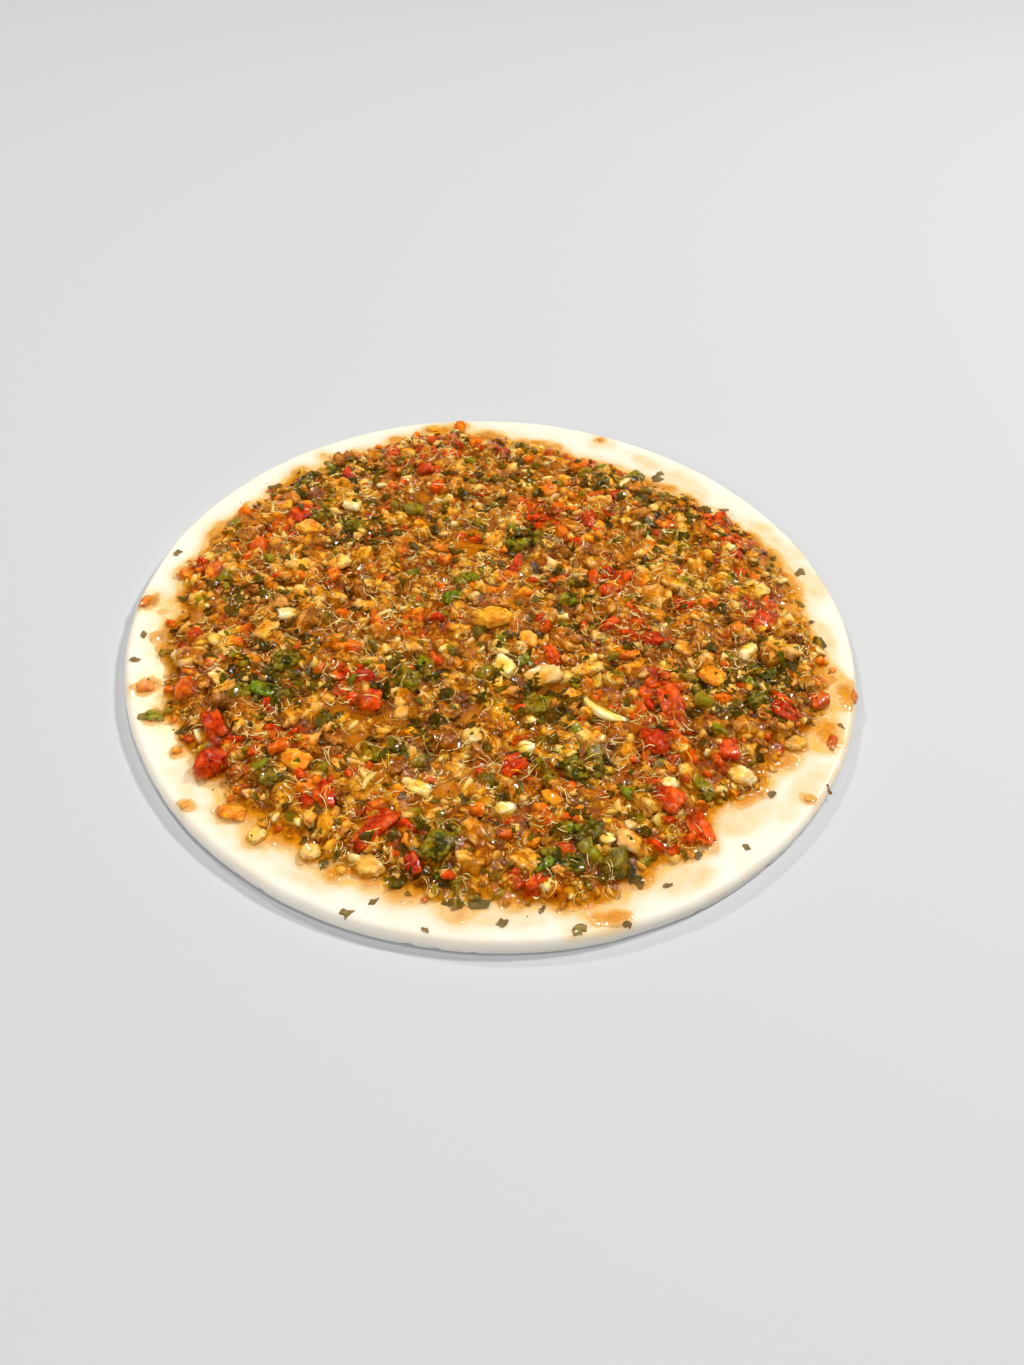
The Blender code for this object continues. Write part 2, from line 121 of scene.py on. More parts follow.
GREEN_PEPPER_PIECES = (
    (-42.5, -25.5, 5.5, 4, 165, 1), (-47.5, -26.5, 4.5, 3.6, 30, 0.4), (-40.5, -17.5, 5, 4.2, 20, 0.3),
    (-16, -20, 6, 4, 150, 0.5), (9, -24.5, 6, 5, 70, 0.5), (-6.5, -58.5, 6.5, 4.5, 70, 0.4),
    (24, -59, 5.5, 4.8, 0, 0.3), (16.5, -60.5, 4.2, 3.4, 10, 0.1), (19.5, -54, 6, 3.4, 60, 0),
    (-9.5, 4.5, 4, 3.2, 20, 0.9), (3.5, 23, 5, 4.5, 60, 0.7), (40, -41, 5.5, 2.6, 120, 0.6),
    (-38, -45.5, 4.6, 4, 0, 0.4), (17, -40, 5, 4.2, 0, 0.3), (30.5, 50, 4, 3.4, 50, 0.7),
    (52.5, -19.5, 5.5, 3.4, 30, 0.1), (-33, 25, 4.5, 3, 15, 0.2), (23, 46.5, 3.8, 3.4, 80, 0.1),
    (12, -60.5, 3.6, 2.6, 20, 1), (-62.5, -31.5, 3, 2.4, 10, 1), (1.5, -8.5, 3.6, 2.8, 100, 0.7),
    (6, -13, 3, 2.6, 30, 0.8), (20.5, -36, 5, 3.4, 40, 0.3), (-20.5, 33, 4.4, 3, 20, 0.5),
)  # fmt: skip
ONION_PIECES = (
    (2.5, -15, 5.5, 4.2, 150, 1), (19.5, -11.5, 3.4, 3, 40, 0.8), (10.5, -17, 6.4, 3.6, 25, 0.35),
    (-38, -57, 3.8, 3.2, 60, 0.6), (-28, -60, 4, 3.2, 20, 0.45), (-11.5, -46, 5, 3, 150, 0.8),
    (4.5, -49.5, 3.6, 3.2, 150, 1), (47.5, -38, 4.4, 3.8, 0, 0.6), (-18, -62, 4.6, 4, 0, 0.35),
    (52, -6, 4.5, 4, 30, 0.7), (61, -5, 4, 3.2, 20, 0.6), (59, -28, 5, 3.6, 160, 0.4),
    (-52, -23, 4.2, 3.2, 150, 0.5), (-27, 6.5, 3.6, 3.2, 0, 0.7), (26.5, -54.5, 4.2, 3.6, 0, 0.35),
    (-3, -34, 4.6, 3.4, 20, 0.6), (7.5, -35.5, 3.6, 3, 0, 1), (34, -42, 3.4, 3, 0, 1),
    (22.5, -54.5, 3, 2, 30, 1), (-42, -4, 4.2, 3, 10, 0.8), (-34.5, 33, 4, 3.6, 0, 0.7),
)  # fmt: skip
ONION_STRIPS = (
    (22, -25, 10, 2.4, 147, 1), (28, 47.5, 5.5, 1.8, 48, 0.9), (-22.5, -2.5, 5.5, 1.3, 35, 0.8),
    (-12, 9, 5, 1.1, 140, 0.7), (40, 16, 5, 1.2, 70, 0.8), (-45, 2, 4.6, 1.1, 160, 0.7),
    (4, 50, 5, 1.2, 20, 0.8), (-1, -22, 4.6, 1.1, 100, 0.7), (-20, -45, 5, 1.2, 60, 0.8),
)  # fmt: skip
PARSLEY_PIECES = (
    (12, -27, 5, 3.4, 80, 0.2), (39.5, -24, 4.5, 2.6, 40, 0.1), (-56.5, -35, 3.6, 2.6, 10, 0.1),
    (-55.5, -17.5, 4.2, 2.2, 160, 0.1), (60, -8, 6, 2.4, 120, 0.2), (-28.5, -53, 6, 3.2, 100, 0.2),
    (47, 6, 4, 3, 40, 0.1), (50, -12, 5, 3.4, 60, 0.1), (-2.5, -11, 3.6, 2.8, 70, 0.1),
    (24.5, -13, 3.6, 2.2, 130, 0), (17, -48.5, 4.2, 2.6, 30, 0.3), (44.5, -24, 4.4, 3, 150, 0.1),
    (-50.5, -20, 3.6, 2.4, 30, 0.1), (-31, -22, 4.6, 2.4, 75, 0.3), (-46, 12, 3.6, 2.4, 60, 0.2),
    (-22, 13, 3.8, 2.2, 100, 0.2), (36, 54, 4, 2.6, 30, 0), (8, 15, 4, 2.4, 140, 0.2),
)  # fmt: skip
# What sticks to the bare rim.
RIM_FLAKES = (
    (-20.8, -71, 3.2, 2.4, 20, 0.8), (18.3, -71.2, 2.8, 2.6, 0, 0.9), (5.2, -70.8, 2.4, 1.8, 60, 0.2),
    (-70.9, -10.2, 2.4, 2.2, 20, 0.4), (-70.8, -17.2, 2.2, 1.5, 10, 0.3), (-70.6, 15.4, 2.2, 1.8, 60, 0.5),
    (51.6, 43.2, 2.4, 1.6, 0, 0.4), (37, 55.8, 2.4, 1.8, 30, 0.1), (47.5, -52.5, 2.4, 1.6, 60, 0.1),
    (67, 22.5, 3, 2.4, 60, 0.5), (-64.5, -32, 2.8, 2.2, 160, 1), (-16.4, -68.5, 2.2, 1.6, 40, 0.1),
    (11.7, -68, 1.8, 1, 70, 0.2), (2, -67.5, 1.6, 1, 10, 0.2), (-7, -73.2, 1.8, 0.7, 150, 0.3),
    (26, -69.5, 2, 1.2, 20, 0.1), (38.7, -55, 2.2, 1.4, 60, 0.2), (65.5, 11.5, 2, 1.4, 20, 0.6),
    (67.3, 6.5, 1.6, 1.2, 60, 0.3), (63.3, 2.5, 1.8, 1.4, 20, 0.4), (53, -40.5, 2.2, 1.6, 10, 0.1),
    (69, -22.5, 1.6, 0.9, 130, 0.3), (64.5, -38, 1.8, 1, 130, 0.3), (33, -61.5, 2, 1, 30, 0.1),
)  # fmt: skip
RIM_SCRAPS = (
    (-73.2, -0.5, 3.2, 1.8, 85, 0.3), (73.1, -14, 3.6, 1.6, 75, 0.3), (-13, 70, 4, 3, 80, 0.5),
    (22.5, 68.5, 1.6, 1.2, 40, 0.6), (-52, -51.5, 1.8, 1.4, 30, 0.8), (-66.5, -24.5, 2.8, 2.2, 20, 0.5),
    (-56.5, -39.5, 2, 1.6, 20, 0.8), (-66, 12, 2.2, 1.8, 40, 0.6), (69.5, -7.5, 1.8, 1.4, 40, 0.4),
    (-20, 68, 3, 2.2, 10, 0.9), (60, -41, 1.6, 1.2, 20, 0.7), (63, 21, 2, 1.2, 60, 0.3),
)  # fmt: skip
# Thin puddles of juice: x, y, length, width in millimetres, turn in degrees, and depth in millimetres.
PUDDLES = (
    (62, 26, 10, 5, 115, 0.27), (63.5, 18.5, 5, 3.4, 60, 0.24), (71.3, -14, 8, 4.5, 75, 0.27),
    (66, -24, 9, 5.5, 80, 0.27), (-66.5, -24.5, 5.5, 5.5, 0, 0.27), (-66.5, 10, 6.5, 5.5, 60, 0.27),
    (-62, 20.5, 6, 3.4, 60, 0.24), (-71.8, -0.5, 5, 3.2, 85, 0.27), (-12, -66, 8, 3.6, 15, 0.24),
    (23, -68.5, 8, 4, 5, 0.24), (-18, 67.5, 10, 5, 10, 0.27), (5, 65, 12, 4, 0, 0.24),
)  # fmt: skip
# Places where juice has soaked into the bare dough: x, y, length, width in millimetres, turn in degrees.
STAINS = (
    (61, -37.5, 16, 8, 50), (22, 66.5, 7, 6, 0), (22, -71, 12, 4, 5), (46, -47, 16, 6, 45),
    (-54, -46, 10, 4.5, 130), (35, -60, 12, 5, 30), (-42, -56.5, 12, 4.5, 145), (60, 34, 12, 8, 120),
    (44, 52, 14, 7, 140), (34, 60, 10, 6, 150), (-56, 32, 10, 5, 60), (68, 2, 14, 7, 90),
    (-68.5, -10, 12, 5, 90), (-62, -32, 10, 4, 120), (4, -70, 14, 3, 0), (66, 22, 20, 10, 105),
    (-28, -65, 10, 4, 160), (68, -24, 18, 9, 70),
)  # fmt: skip
# Open golden juice with few crumbs in it.
POOLS = (
    (24, -20, 11, 7, 160), (-8, -46, 8, 6, 20), (-24, -35, 7, 4.4, 30), (-36, -8, 9, 4, 10),
    (12, -45, 8, 4, 60), (40, -28, 7, 4, 40), (-33, 0, 9, 3.6, 20), (52, -33, 5, 4, 0), (16, 5, 7, 4, 20),
)  # fmt: skip

# Where the spread holds more tomato and red pepper, and where more herbs and green pepper: x, y, and how far
# the zone reaches along X and Y, in millimetres.
RED_ZONES = (
    (33, -28, 16, 32), (30, -4, 16, 10), (8, 35, 14, 10), (-46, 27, 10, 15), (-26, -22, 12, 10),
    (-49, -40, 12, 15), (-18, -56, 9, 15), (20, 57, 18, 8), (-24, 55, 18, 15), (50, 37, 10, 10),
    (20, 36, 9, 16), (56, 6, 13, 13), (-40, -37, 16, 7), (39, -48, 9, 11), (-14, -5, 11, 7),
    (-52, 17, 9, 9), (25, 12, 11, 11), (-29, -49, 9, 7), (-64, 8, 9, 11), (58, -22, 9, 7), (10, -64, 9, 5),
)  # fmt: skip
GREEN_ZONES = (
    (10, -23, 14, 15), (-16, -19, 16, 12), (-42, -20, 16, 17), (-34, 27, 16, 13), (40, 43, 18, 14),
    (48, -18, 20, 13), (-50, 40, 15, 13), (-38, 50, 13, 11), (22, 49, 12, 9), (38, 30, 14, 11),
    (4, 24, 11, 9), (20, -58, 18, 13), (-8, -58, 11, 11), (14, 8, 11, 11), (-58, 33, 9, 11),
    (58, -12, 11, 15), (-16, 28, 9, 9), (-10, -34, 16, 10), (-50, 2, 10, 8), (16, -40, 10, 8),
    (2, 46, 12, 8),
)  # fmt: skip


def linear(hex_colour):
    """An sRGB hex value, such as F4EBD6, as linear red, green and blue."""
    shares = (int(hex_colour[start : start + 2], 16) / 255.0 for start in (0, 2, 4))
    return tuple(s / 12.92 if s <= 0.04045 else ((s + 0.055) / 1.055) ** 2.4 for s in shares)


def tone(name, description, hex_colour):
    """A colour property with an sRGB hex default."""
    return bpy.props.FloatVectorProperty(
        name=name,
        description=description,
        subtype="COLOR",
        size=3,
        min=0.0,
        max=1.0,
        default=linear(hex_colour),
    )


def length(name, description, millimetres):
    """A length property in metres with a default in millimetres."""
    return bpy.props.FloatProperty(
        name=name,
        description=description,
        subtype="DISTANCE",
        unit="LENGTH",
        default=millimetres * MM,
        min=0.0,
        precision=5,
    )


def number(name, description, default):
    """A count property."""
    return bpy.props.IntProperty(name=name, description=description, default=default, min=0)


class LAHMACUN_PG_dough(bpy.types.PropertyGroup):
    """The round of raw dough."""

    foot_round: length("Foot round", "Radius where the side meets the table", 0.5)
    unevenness: length("Unevenness", "How far the rolled top wanders up and down", 0.09)
    colour: tone("Dough", "Raw white wheat dough", "F3EEE4")
    stain: tone("Stain", "Dough that has soaked up the amber juice", "F0BE64")


class LAHMACUN_PG_juice(bpy.types.PropertyGroup):
    """The juicy paste that holds the chopped pieces together."""

    depth: length("Depth", "Depth of the paste over the dough, away from its edge", 2.0)
    edge_depth: length("Edge depth", "Depth of the paste close to its edge", 0.22)
    slope: length("Slope", "Width over which the edge rises to the full depth", 8.0)
    film: tone("Film", "How the film of juice tints all that it covers", "FFD534")
    # Deep also serves as the painted shade of juice in hollows among the pieces.
    deep: tone("Deep", "Juice in the gaps between crumbs", "6A2600")
    golden: tone("Golden", "Juice over pale crumbs", "C48418")
    olive: tone("Olive", "Juice over chopped herbs", "76540A")
    red: tone("Red", "Juice over tomato and red pepper", "BE5408")
    edge: tone("Edge", "The thinnest juice, hardly darker than the dough", "F4D092")
    thin: tone("Thin", "A film of juice through which the dough shows", "F0C060")
    pale: tone("Pale", "The finest pale crumbs in the juice", "E2A848")


class LAHMACUN_PG_mince(bpy.types.PropertyGroup):
    """Grains of minced meat, single and in clumps."""

    clumps: number("Clumps", "How many clumps of grains lie in the spread", 420)
    grains: number("Grains", "How many single grains are tried", 1100)
    smallest: length("Smallest", "Length of the smallest grain", 1.2)
    largest: length("Largest", "Length of the largest grain", 2.6)
    deep: tone("Deep", "Darker meat", "6E3A0A")
    middle: tone("Middle", "Usual colour of the meat", "BC7E34")
    bright: tone("Bright", "Meat with fat in it", "F0C484")


class LAHMACUN_PG_onion(bpy.types.PropertyGroup):
    """Chopped onion and garlic."""

    count: number("Count", "How many small pieces are tried", 1250)
    smallest: length("Smallest", "Length of the smallest piece", 1.1)
    largest: length("Largest", "Length of the largest small piece", 3.2)
    deep: tone("Deep", "Onion soaked in juice", "D09A48")
    middle: tone("Middle", "Onion with some juice on it", "E8BE84")
    bright: tone("Bright", "Bare pale onion", "F8EAD2")


class LAHMACUN_PG_red_pepper(bpy.types.PropertyGroup):
    """Chopped red pepper."""

    count: number("Count", "How many small pieces are tried", 620)
    smallest: length("Smallest", "Length of the smallest piece", 1.1)
    largest: length("Largest", "Length of the largest small piece", 3.8)
    deep: tone("Deep", "The skin side", "9A1C02")
    middle: tone("Middle", "The cut flesh", "C43804")
    bright: tone("Bright", "Flesh that light shines into", "DE5C18")


class LAHMACUN_PG_tomato(bpy.types.PropertyGroup):
    """Chopped tomato, soft and orange with juice."""

    count: number("Count", "How many small pieces are tried", 720)
    smallest: length("Smallest", "Length of the smallest piece", 1.2)
    largest: length("Largest", "Length of the largest small piece", 4.0)
    deep: tone("Deep", "Red tomato flesh", "B84208")
    middle: tone("Middle", "Orange tomato flesh", "D86E14")
    bright: tone("Bright", "Yellow tomato flesh", "F0AE3A")


class LAHMACUN_PG_green_pepper(bpy.types.PropertyGroup):
    """Chopped green pepper, olive where the juice covers it."""

    count: number("Count", "How many small pieces are tried", 640)
    smallest: length("Smallest", "Length of the smallest piece", 1.2)
    largest: length("Largest", "Length of the largest small piece", 4.0)
    deep: tone("Deep", "The dark skin side", "44460A")
    middle: tone("Middle", "Olive flesh under juice", "867A1C")
    bright: tone("Bright", "Fresh bright skin", "5C7A12")


class LAHMACUN_PG_parsley(bpy.types.PropertyGroup):
    """Flakes of chopped parsley leaf."""

    count: number("Count", "How many flakes are tried", 3600)
    smallest: length("Smallest", "Length of the smallest flake", 1.2)
    largest: length("Largest", "Length of the largest small flake", 4.2)
    thickness: length("Thickness", "Thickness of a wet leaf with its film of juice", 0.14)
    deep: tone("Deep", "Leaf in the shade", "20280A")
    middle: tone("Middle", "Usual leaf", "38420E")
    bright: tone("Bright", "Fresh leaf", "566418")


class LAHMACUN_PG_strings(bpy.types.PropertyGroup):
    """Thin strings of vegetable."""

    count: number("Strings", "How many strings lie on the spread", 300)
    thickness: length("Thickness", "Thickness of a string", 0.26)
    deep: tone("Deep", "Soaked string", "CB7605")
    middle: tone("Middle", "Usual string", "EDBE62")
    bright: tone("Bright", "Pale string", "F8E8BC")


class LAHMACUN_PG_painted_glint_ridges(bpy.types.PropertyGroup):
    """Thin ridges where the juice climbs round the pieces, mostly near white as painted glints."""

    count: number("Count", "How many ridges are tried", 5600)
    thickness: length("Thickness", "Thickness of the strongest ridge", 0.27)
    # The middle and bright tones are painted highlights: pale colour that stands in for glints along the
    # ridges.
    deep: tone("Deep", "Ridge of amber juice", "D8922E")
    middle: tone("Middle", "Ridge that light shines into", "F8D68C")
    bright: tone("Bright", "Ridge that light glints on", "FFF2CE")


class LAHMACUN_PG_specks(bpy.types.PropertyGroup):
    """Specks of ground pepper and herb dust."""

    count: number("Count", "How many specks lie on the spread", 320)
    deep: tone("Deep", "Black pepper", "1A1004")
    middle: tone("Middle", "Dark herb dust", "2E2806")
    bright: tone("Bright", "Brown pepper", "6A3C0A")


class LAHMACUN_PG_stage(bpy.types.PropertyGroup):
    """The floor, the lights and the camera."""

    floor: tone("Floor", "Plain pale studio floor", "C6CAD2")
    elevation: bpy.props.FloatProperty(
        name="Elevation",
        description="How steeply the camera looks down",
        subtype="ANGLE",
        unit="ROTATION",
        default=math.radians(47.13),
    )
    roll: bpy.props.FloatProperty(
        name="Roll",
        description="How far the camera leans to its side",
        subtype="ANGLE",
        unit="ROTATION",
        default=math.radians(3.78),
    )
    position: bpy.props.FloatVectorProperty(
        name="Position",
        description="Where the camera stands",
        subtype="TRANSLATION",
        unit="LENGTH",
        size=3,
        default=(4.3 * MM, -163.4 * MM, 161.4 * MM),
        precision=5,
    )
    lens: bpy.props.FloatProperty(
        name="Lens",
        description="Focal length in millimetres on a sensor 36 mm high",
        default=28.6,
    )


def ease(share):
    """Rises smoothly from 0 to 1 as the share does."""
    share = np.clip(share, 0.0, 1.0)
    return share * share * (3.0 - 2.0 * share)


def between(grid, u, v, curve):
    """A grid's values at any row and column, blended from the four nearest cells along this curve."""
    i, j = np.floor(u).astype(int), np.floor(v).astype(int)
    s, t = curve(u - i), curve(v - j)
    if grid.ndim == 3:
        s, t = s[..., None], t[..., None]
    near = grid[i, j] * (1.0 - s) + grid[i + 1, j] * s
    far = grid[i, j + 1] * (1.0 - s) + grid[i + 1, j + 1] * s
    return near * (1.0 - t) + far * t


def drift(x, y, size, seed):
    """Smooth random values from -1 to 1 at any points within 10 cm, in waves about one size across.

    Each pattern in this file has a seed of its own.
    """
    half = 0.1
    cells = int(2.0 * half / size) + 3
    lattice = np.random.default_rng(seed).uniform(-1.0, 1.0, (cells, cells))
    return between(lattice, (np.asarray(x) + half) / size, (np.asarray(y) + half) / size, ease)


def mixed(a, b, share):
    """Colours between a and b, one for each share."""
    share = np.asarray(share)[..., None]
    return np.asarray(a) * (1.0 - share) + np.asarray(b) * share


def palette(settings, shade):
    """The colours of one kind at shades from 0, deep, through 0.5, middle, to 1, bright."""
    shade = np.clip(np.asarray(shade, float), 0.0, 1.0)
    low = mixed(settings.deep, settings.middle, np.clip(2.0 * shade, 0.0, 1.0))
    return mixed(low, settings.bright, np.clip(2.0 * shade - 1.0, 0.0, 1.0))


def reach_table():
    """The distance from the centre to the edge of the spread at evenly spaced angles."""
    steps = 1440
    table = []
    for step in range(steps):
        angle = math.tau * step / steps
        place = step / steps * len(REACH_MM)
        low = int(place)
        share = float(ease(place - low))
        even = REACH_MM[low] * (1.0 - share) + REACH_MM[(low + 1) % len(REACH_MM)] * share
        around = Vector((math.cos(angle), math.sin(angle), 0.0)) * OUTLINE_WAVES
        around.z = OUTLINE_DRAW
        table.append(even * MM + OUTLINE_WOBBLE * noise.noise(around))
    return np.array(table)


def edge_drop(x, y):
    """How far the dough's rounded upper edge lies under its flat top."""
    past = np.clip(np.hypot(x, y) - (DOUGH_RADIUS - EDGE_ROUND), 0.0, EDGE_LEFT * EDGE_ROUND)
    return EDGE_ROUND - np.sqrt(EDGE_ROUND**2 - past**2)


def in_metres(table):
    """The rows of a table with their first four values in metres and their turn in radians."""
    for x, y, along, across, turn, *rest in table:
        yield x * MM, y * MM, along * MM, across * MM, math.radians(turn), *rest


def ellipse(x, y, centre_x, centre_y, along, across, turn):
    """How far points lie from an ellipse's centre: under 1 inside it."""
    dx, dy = x - centre_x, y - centre_y
    u = (dx * math.cos(turn) + dy * math.sin(turn)) / (0.5 * along)
    v = (dy * math.cos(turn) - dx * math.sin(turn)) / (0.5 * across)
    return np.hypot(u, v)


class Spread:
    """The topping from above on an even square grid: heights over the dough's top, and colours."""

    STEP = 0.42 * MM
    # How deep the paste's foot lies in the dough, and how deep its surface lies where no juice is.
    SUNK, HIDDEN = 0.45 * MM, 0.24 * MM
    # How wide the juice climbs round a piece, how far under its crest it stops, and how clear it stays of
    # the large pieces.
    FILLET, FILLET_DROP, CLEAR = 0.45 * MM, 0.07 * MM, 0.4 * MM
    # No juice within this much of the rim, as a puddle and as a skirt round a piece.
    BARE_RIM, BARE_SKIRT = 0.5 * MM, 0.6 * MM
    SKIRT, SKIRT_DEPTH = 1.0 * MM, 0.20 * MM
    # Flakes lie this much over the juice.
    DRAPE_GAP = 0.08 * MM

    def __init__(self, juice):
        count = math.ceil(DOUGH_RADIUS / self.STEP)
        self.line = np.arange(-count, count + 1) * self.STEP
        self.x, self.y = np.meshgrid(self.line, self.line, indexing="ij")
        table = reach_table()
        angle = np.arctan2(self.y, self.x) % math.tau
        edge = np.interp(angle, np.linspace(0.0, math.tau, len(table) + 1), np.append(table, table[0]))
        ragged = 1.5 * MM * drift(self.x, self.y, 5.0 * MM, 11)
        ragged += 0.9 * MM * drift(self.x, self.y, 2.2 * MM, 12)
        self.inside = edge + ragged - np.hypot(self.x, self.y)
        self.pool = self.pool_share()
        self.red, self.green = self.zone(RED_ZONES, 23), self.zone(GREEN_ZONES, 24)
        self.film = self.film_height(juice)
        self.top = self.film.copy()
        self.paint = self.juice_colour(juice)
        self.taken = np.zeros(self.x.shape, bool)
        self.large = np.zeros(self.x.shape)

    def pool_share(self):
        """1 where open juice lies, 0 where crumbs fill the spread."""
        wander = drift(self.x, self.y, 8.0 * MM, 21) + 0.5 * drift(self.x, self.y, 3.4 * MM, 22)
        share = ease((wander - 0.62) / 0.2)
        for place in in_metres(POOLS):
            far = ellipse(self.x, self.y, *place)
            share = np.maximum(share, ease((1.05 - far + 0.3 * wander) / 0.4))
        return share

    def zone(self, places, seed):
        """1 in the middle of the zones at these places, fading to 0 outside them."""
        wander = 0.45 * drift(self.x, self.y, 3.2 * MM, seed)
        share = np.zeros(self.x.shape)
        for x, y, wide, deep in places:
            far = ellipse(self.x, self.y, x * MM, y * MM, wide * MM, deep * MM, 0.0)
            share = np.maximum(share, ease((1.35 - far + wander) / 0.7))
        return share

    def film_height(self, juice):
        """The height of the paste without any piece that is modelled by itself."""
        rise = ease(self.inside / juice.slope)
        reach = self.inside + (2.6 + 2.0 * drift(self.x, self.y, 3.6 * MM, 35)) * MM
        film = -self.HIDDEN + (self.HIDDEN + juice.edge_depth) * ease(reach / (3.4 * MM))
        film += rise * (juice.depth - juice.edge_depth)
        lumps = 0.45 * MM * drift(self.x, self.y, 13.0 * MM, 31)
        lumps += (1.0 - self.pool) * 0.40 * MM * drift(self.x, self.y, 4.5 * MM, 32)
        lumps += (1.0 - self.pool) * 0.22 * MM * drift(self.x, self.y, 2.0 * MM, 33)
        film += ease(self.inside / (3.0 * MM)) * (lumps - 0.3 * MM * self.pool)
        wander = 0.35 * drift(self.x, self.y, 1.8 * MM, 34)
        for *place, depth in in_metres(PUDDLES):
            far = ellipse(self.x, self.y, *place)
            smear = depth * MM * (1.0 - (far + wander) ** 2)
            film = np.maximum(film, np.where(far < 1.4, np.maximum(smear, -self.SUNK), -self.SUNK))
        rim = np.hypot(self.x, self.y) > DOUGH_RADIUS - self.BARE_RIM
        return np.where(rim, -self.SUNK, film)

    def juice_colour(self, juice):
        """The colour of the paste itself, before the pieces show through it."""
        x, y = self.x, self.y
        colour = mixed(juice.deep, juice.golden, ease(0.55 + 0.6 * drift(x, y, 5.0 * MM, 41)))
        colour = mixed(colour, juice.golden, 0.5 * self.pool)
        colour = mixed(colour, juice.olive, 0.7 * self.green + 0.25 * ease(drift(x, y, 7.0 * MM, 42)))
        colour = mixed(colour, juice.red, 0.6 * self.red)
        grain = drift(x, y, 0.95 * MM, 43)
        colour = mixed(colour, juice.pale, 0.75 * ease((grain - 0.30) / 0.4) * (1.0 - 0.8 * self.pool))
        return mixed(colour, juice.deep, 0.6 * ease((-grain - 0.45) / 0.4) * (1.0 - self.pool))

    def cell(self, position):
        """The grid index nearest to a position along either axis."""
        return int(round((position - self.line[0]) / self.STEP))

    def sample(self, raster, x, y):
        """A raster's values at any points, blended between the four nearest cells."""
        last = len(self.line) - 1.001
        u = np.clip((np.asarray(x) - self.line[0]) / self.STEP, 0.0, last)
        v = np.clip((np.asarray(y) - self.line[0]) / self.STEP, 0.0, last)
        return between(raster, u, v, np.asarray)

    def patch(self, x, y, half):
        """The rows and columns of the grid within half a size of a place."""
        rows = slice(max(self.cell(x - half), 0), self.cell(x + half) + 2)
        return rows, slice(max(self.cell(y - half), 0), self.cell(y + half) + 2)

    def stamp(self, x, y, z, size, turn, colour, hold):
        """Marks a piece's upper side in the grid, and the inner share of its outline as taken."""
        patch = self.patch(x, y, 0.5 * max(size[0], size[1]))
        far = ellipse(self.x[patch], self.y[patch], x, y, size[0], size[1], turn)
        cap = z + 0.5 * size[2] * np.sqrt(np.clip(1.0 - far**3, 0.0, 1.0))
        higher = (far < 1.0) & (cap > self.top[patch])
        self.top[patch][higher] = cap[higher]
        self.paint[patch][higher] = colour
        self.taken[patch] |= far < hold
        if hold >= 1.0:
            self.large[patch][far < 0.9] = 1.0
            self.flood(x, y, self.SKIRT + 0.5 * size[0], self.SKIRT + 0.5 * size[1], turn)

    def flood(self, x, y, along, across, turn):
        """Lays a thin film of juice round a piece, where none covers the dough yet."""
        patch = self.patch(x, y, 1.7 * max(along, across))
        near = self.x[patch], self.y[patch]
        far = ellipse(*near, x, y, 2.0 * along, 2.0 * across, turn) + 0.25 * drift(*near, 1.6 * MM, 36)
        skirt = np.where(far < 1.5, self.SKIRT_DEPTH * (1.0 - far**2), -self.SUNK)
        kept = np.hypot(*near) < DOUGH_RADIUS - self.BARE_SKIRT
        self.film[patch] = np.where(kept, np.maximum(self.film[patch], skirt), -self.SUNK)
        self.top[patch] = np.maximum(self.top[patch], self.film[patch])

    def blurred(self, raster, radius):
        """The raster, smoothed over about one radius."""
        steps = max(1, int(math.ceil(2.0 * radius / self.STEP)))
        offsets = range(-steps, steps + 1)
        weights = [math.exp(-0.5 * (offset * self.STEP / radius) ** 2) for offset in offsets]
        for axis in (0, 1):
            raster = sum(w * np.roll(raster, o, axis) for w, o in zip(weights, offsets)) / sum(weights)
        return raster

    def settle(self, juice):
        """Draws the juice up round the pieces, colours it with what shows through, and paints shade in its
        hollows.
        """
        draped = self.blurred(self.top, self.FILLET)
        clear = self.CLEAR * self.blurred(self.large, self.CLEAR)
        self.level = np.maximum(self.film, draped - self.FILLET_DROP - clear)
        seen = self.blurred(self.paint, 0.3 * MM)
        colour = mixed(self.juice_colour(juice), seen, 0.85)
        colour = mixed(colour, juice.thin, 0.15 * self.pool)
        # Painted shade: the juice darkens towards its deep colour where it lies below the nearby tops of
        # pieces.
        painted_hollow_shade = ease((self.blurred(self.top, 1.6 * MM) - self.level) / (0.8 * MM))
        colour = mixed(colour, np.asarray(juice.deep) * 0.65, 0.8 * painted_hollow_shade)
        colour = mixed(colour, juice.thin, 0.8 * (1.0 - ease(self.level / (0.9 * MM))))
        colour = colour * np.asarray(juice.film)
        self.tint = mixed(colour, juice.edge, 0.9 * (1.0 - ease(self.level / (0.3 * MM))))
        self.average = self.blurred(np.maximum(self.top, 0.0), 1.5 * MM)
        self.draped = np.maximum(self.level, self.blurred(self.top, 0.3 * MM)) + self.DRAPE_GAP


def unit_mesh(cuts, power, lumpiness, seed, groove=0.0, grain=0.0):
    """One soft chopped piece, one unit across: a cut-up cube pushed towards a ball, then made lumpy."""
    bm = bmesh.new()
    bmesh.ops.create_cube(bm, size=1.0)
    bmesh.ops.subdivide_edges(bm, edges=bm.edges[:], cuts=cuts, use_grid_fill=True)
    place = Vector((seed * 3.7, seed * 1.9, seed * 5.3))
    draw = np.random.default_rng(seed)
    skew = Matrix(np.eye(3) + draw.uniform(-0.22, 0.22, (3, 3)))
    for vertex in bm.verts:
        corner = sum(abs(c) ** power for c in vertex.co) ** (1.0 / power)
        ball = vertex.co * (0.5 / corner)
        wave = noise.noise(ball * 2.4 + place) + 0.5 * noise.noise(ball * 5.0 + place)
        bumps = abs(noise.noise(ball * 7.0 + place)) - 0.2
        dent = groove * math.exp(-(((ball.y - 0.12) / 0.13) ** 2)) if ball.z > 0.0 else 0.0
        vertex.co = skew @ (ball * (draw.uniform(0.9, 1.1) + lumpiness * wave - grain * bumps - dent))
    return shape_of(bm)


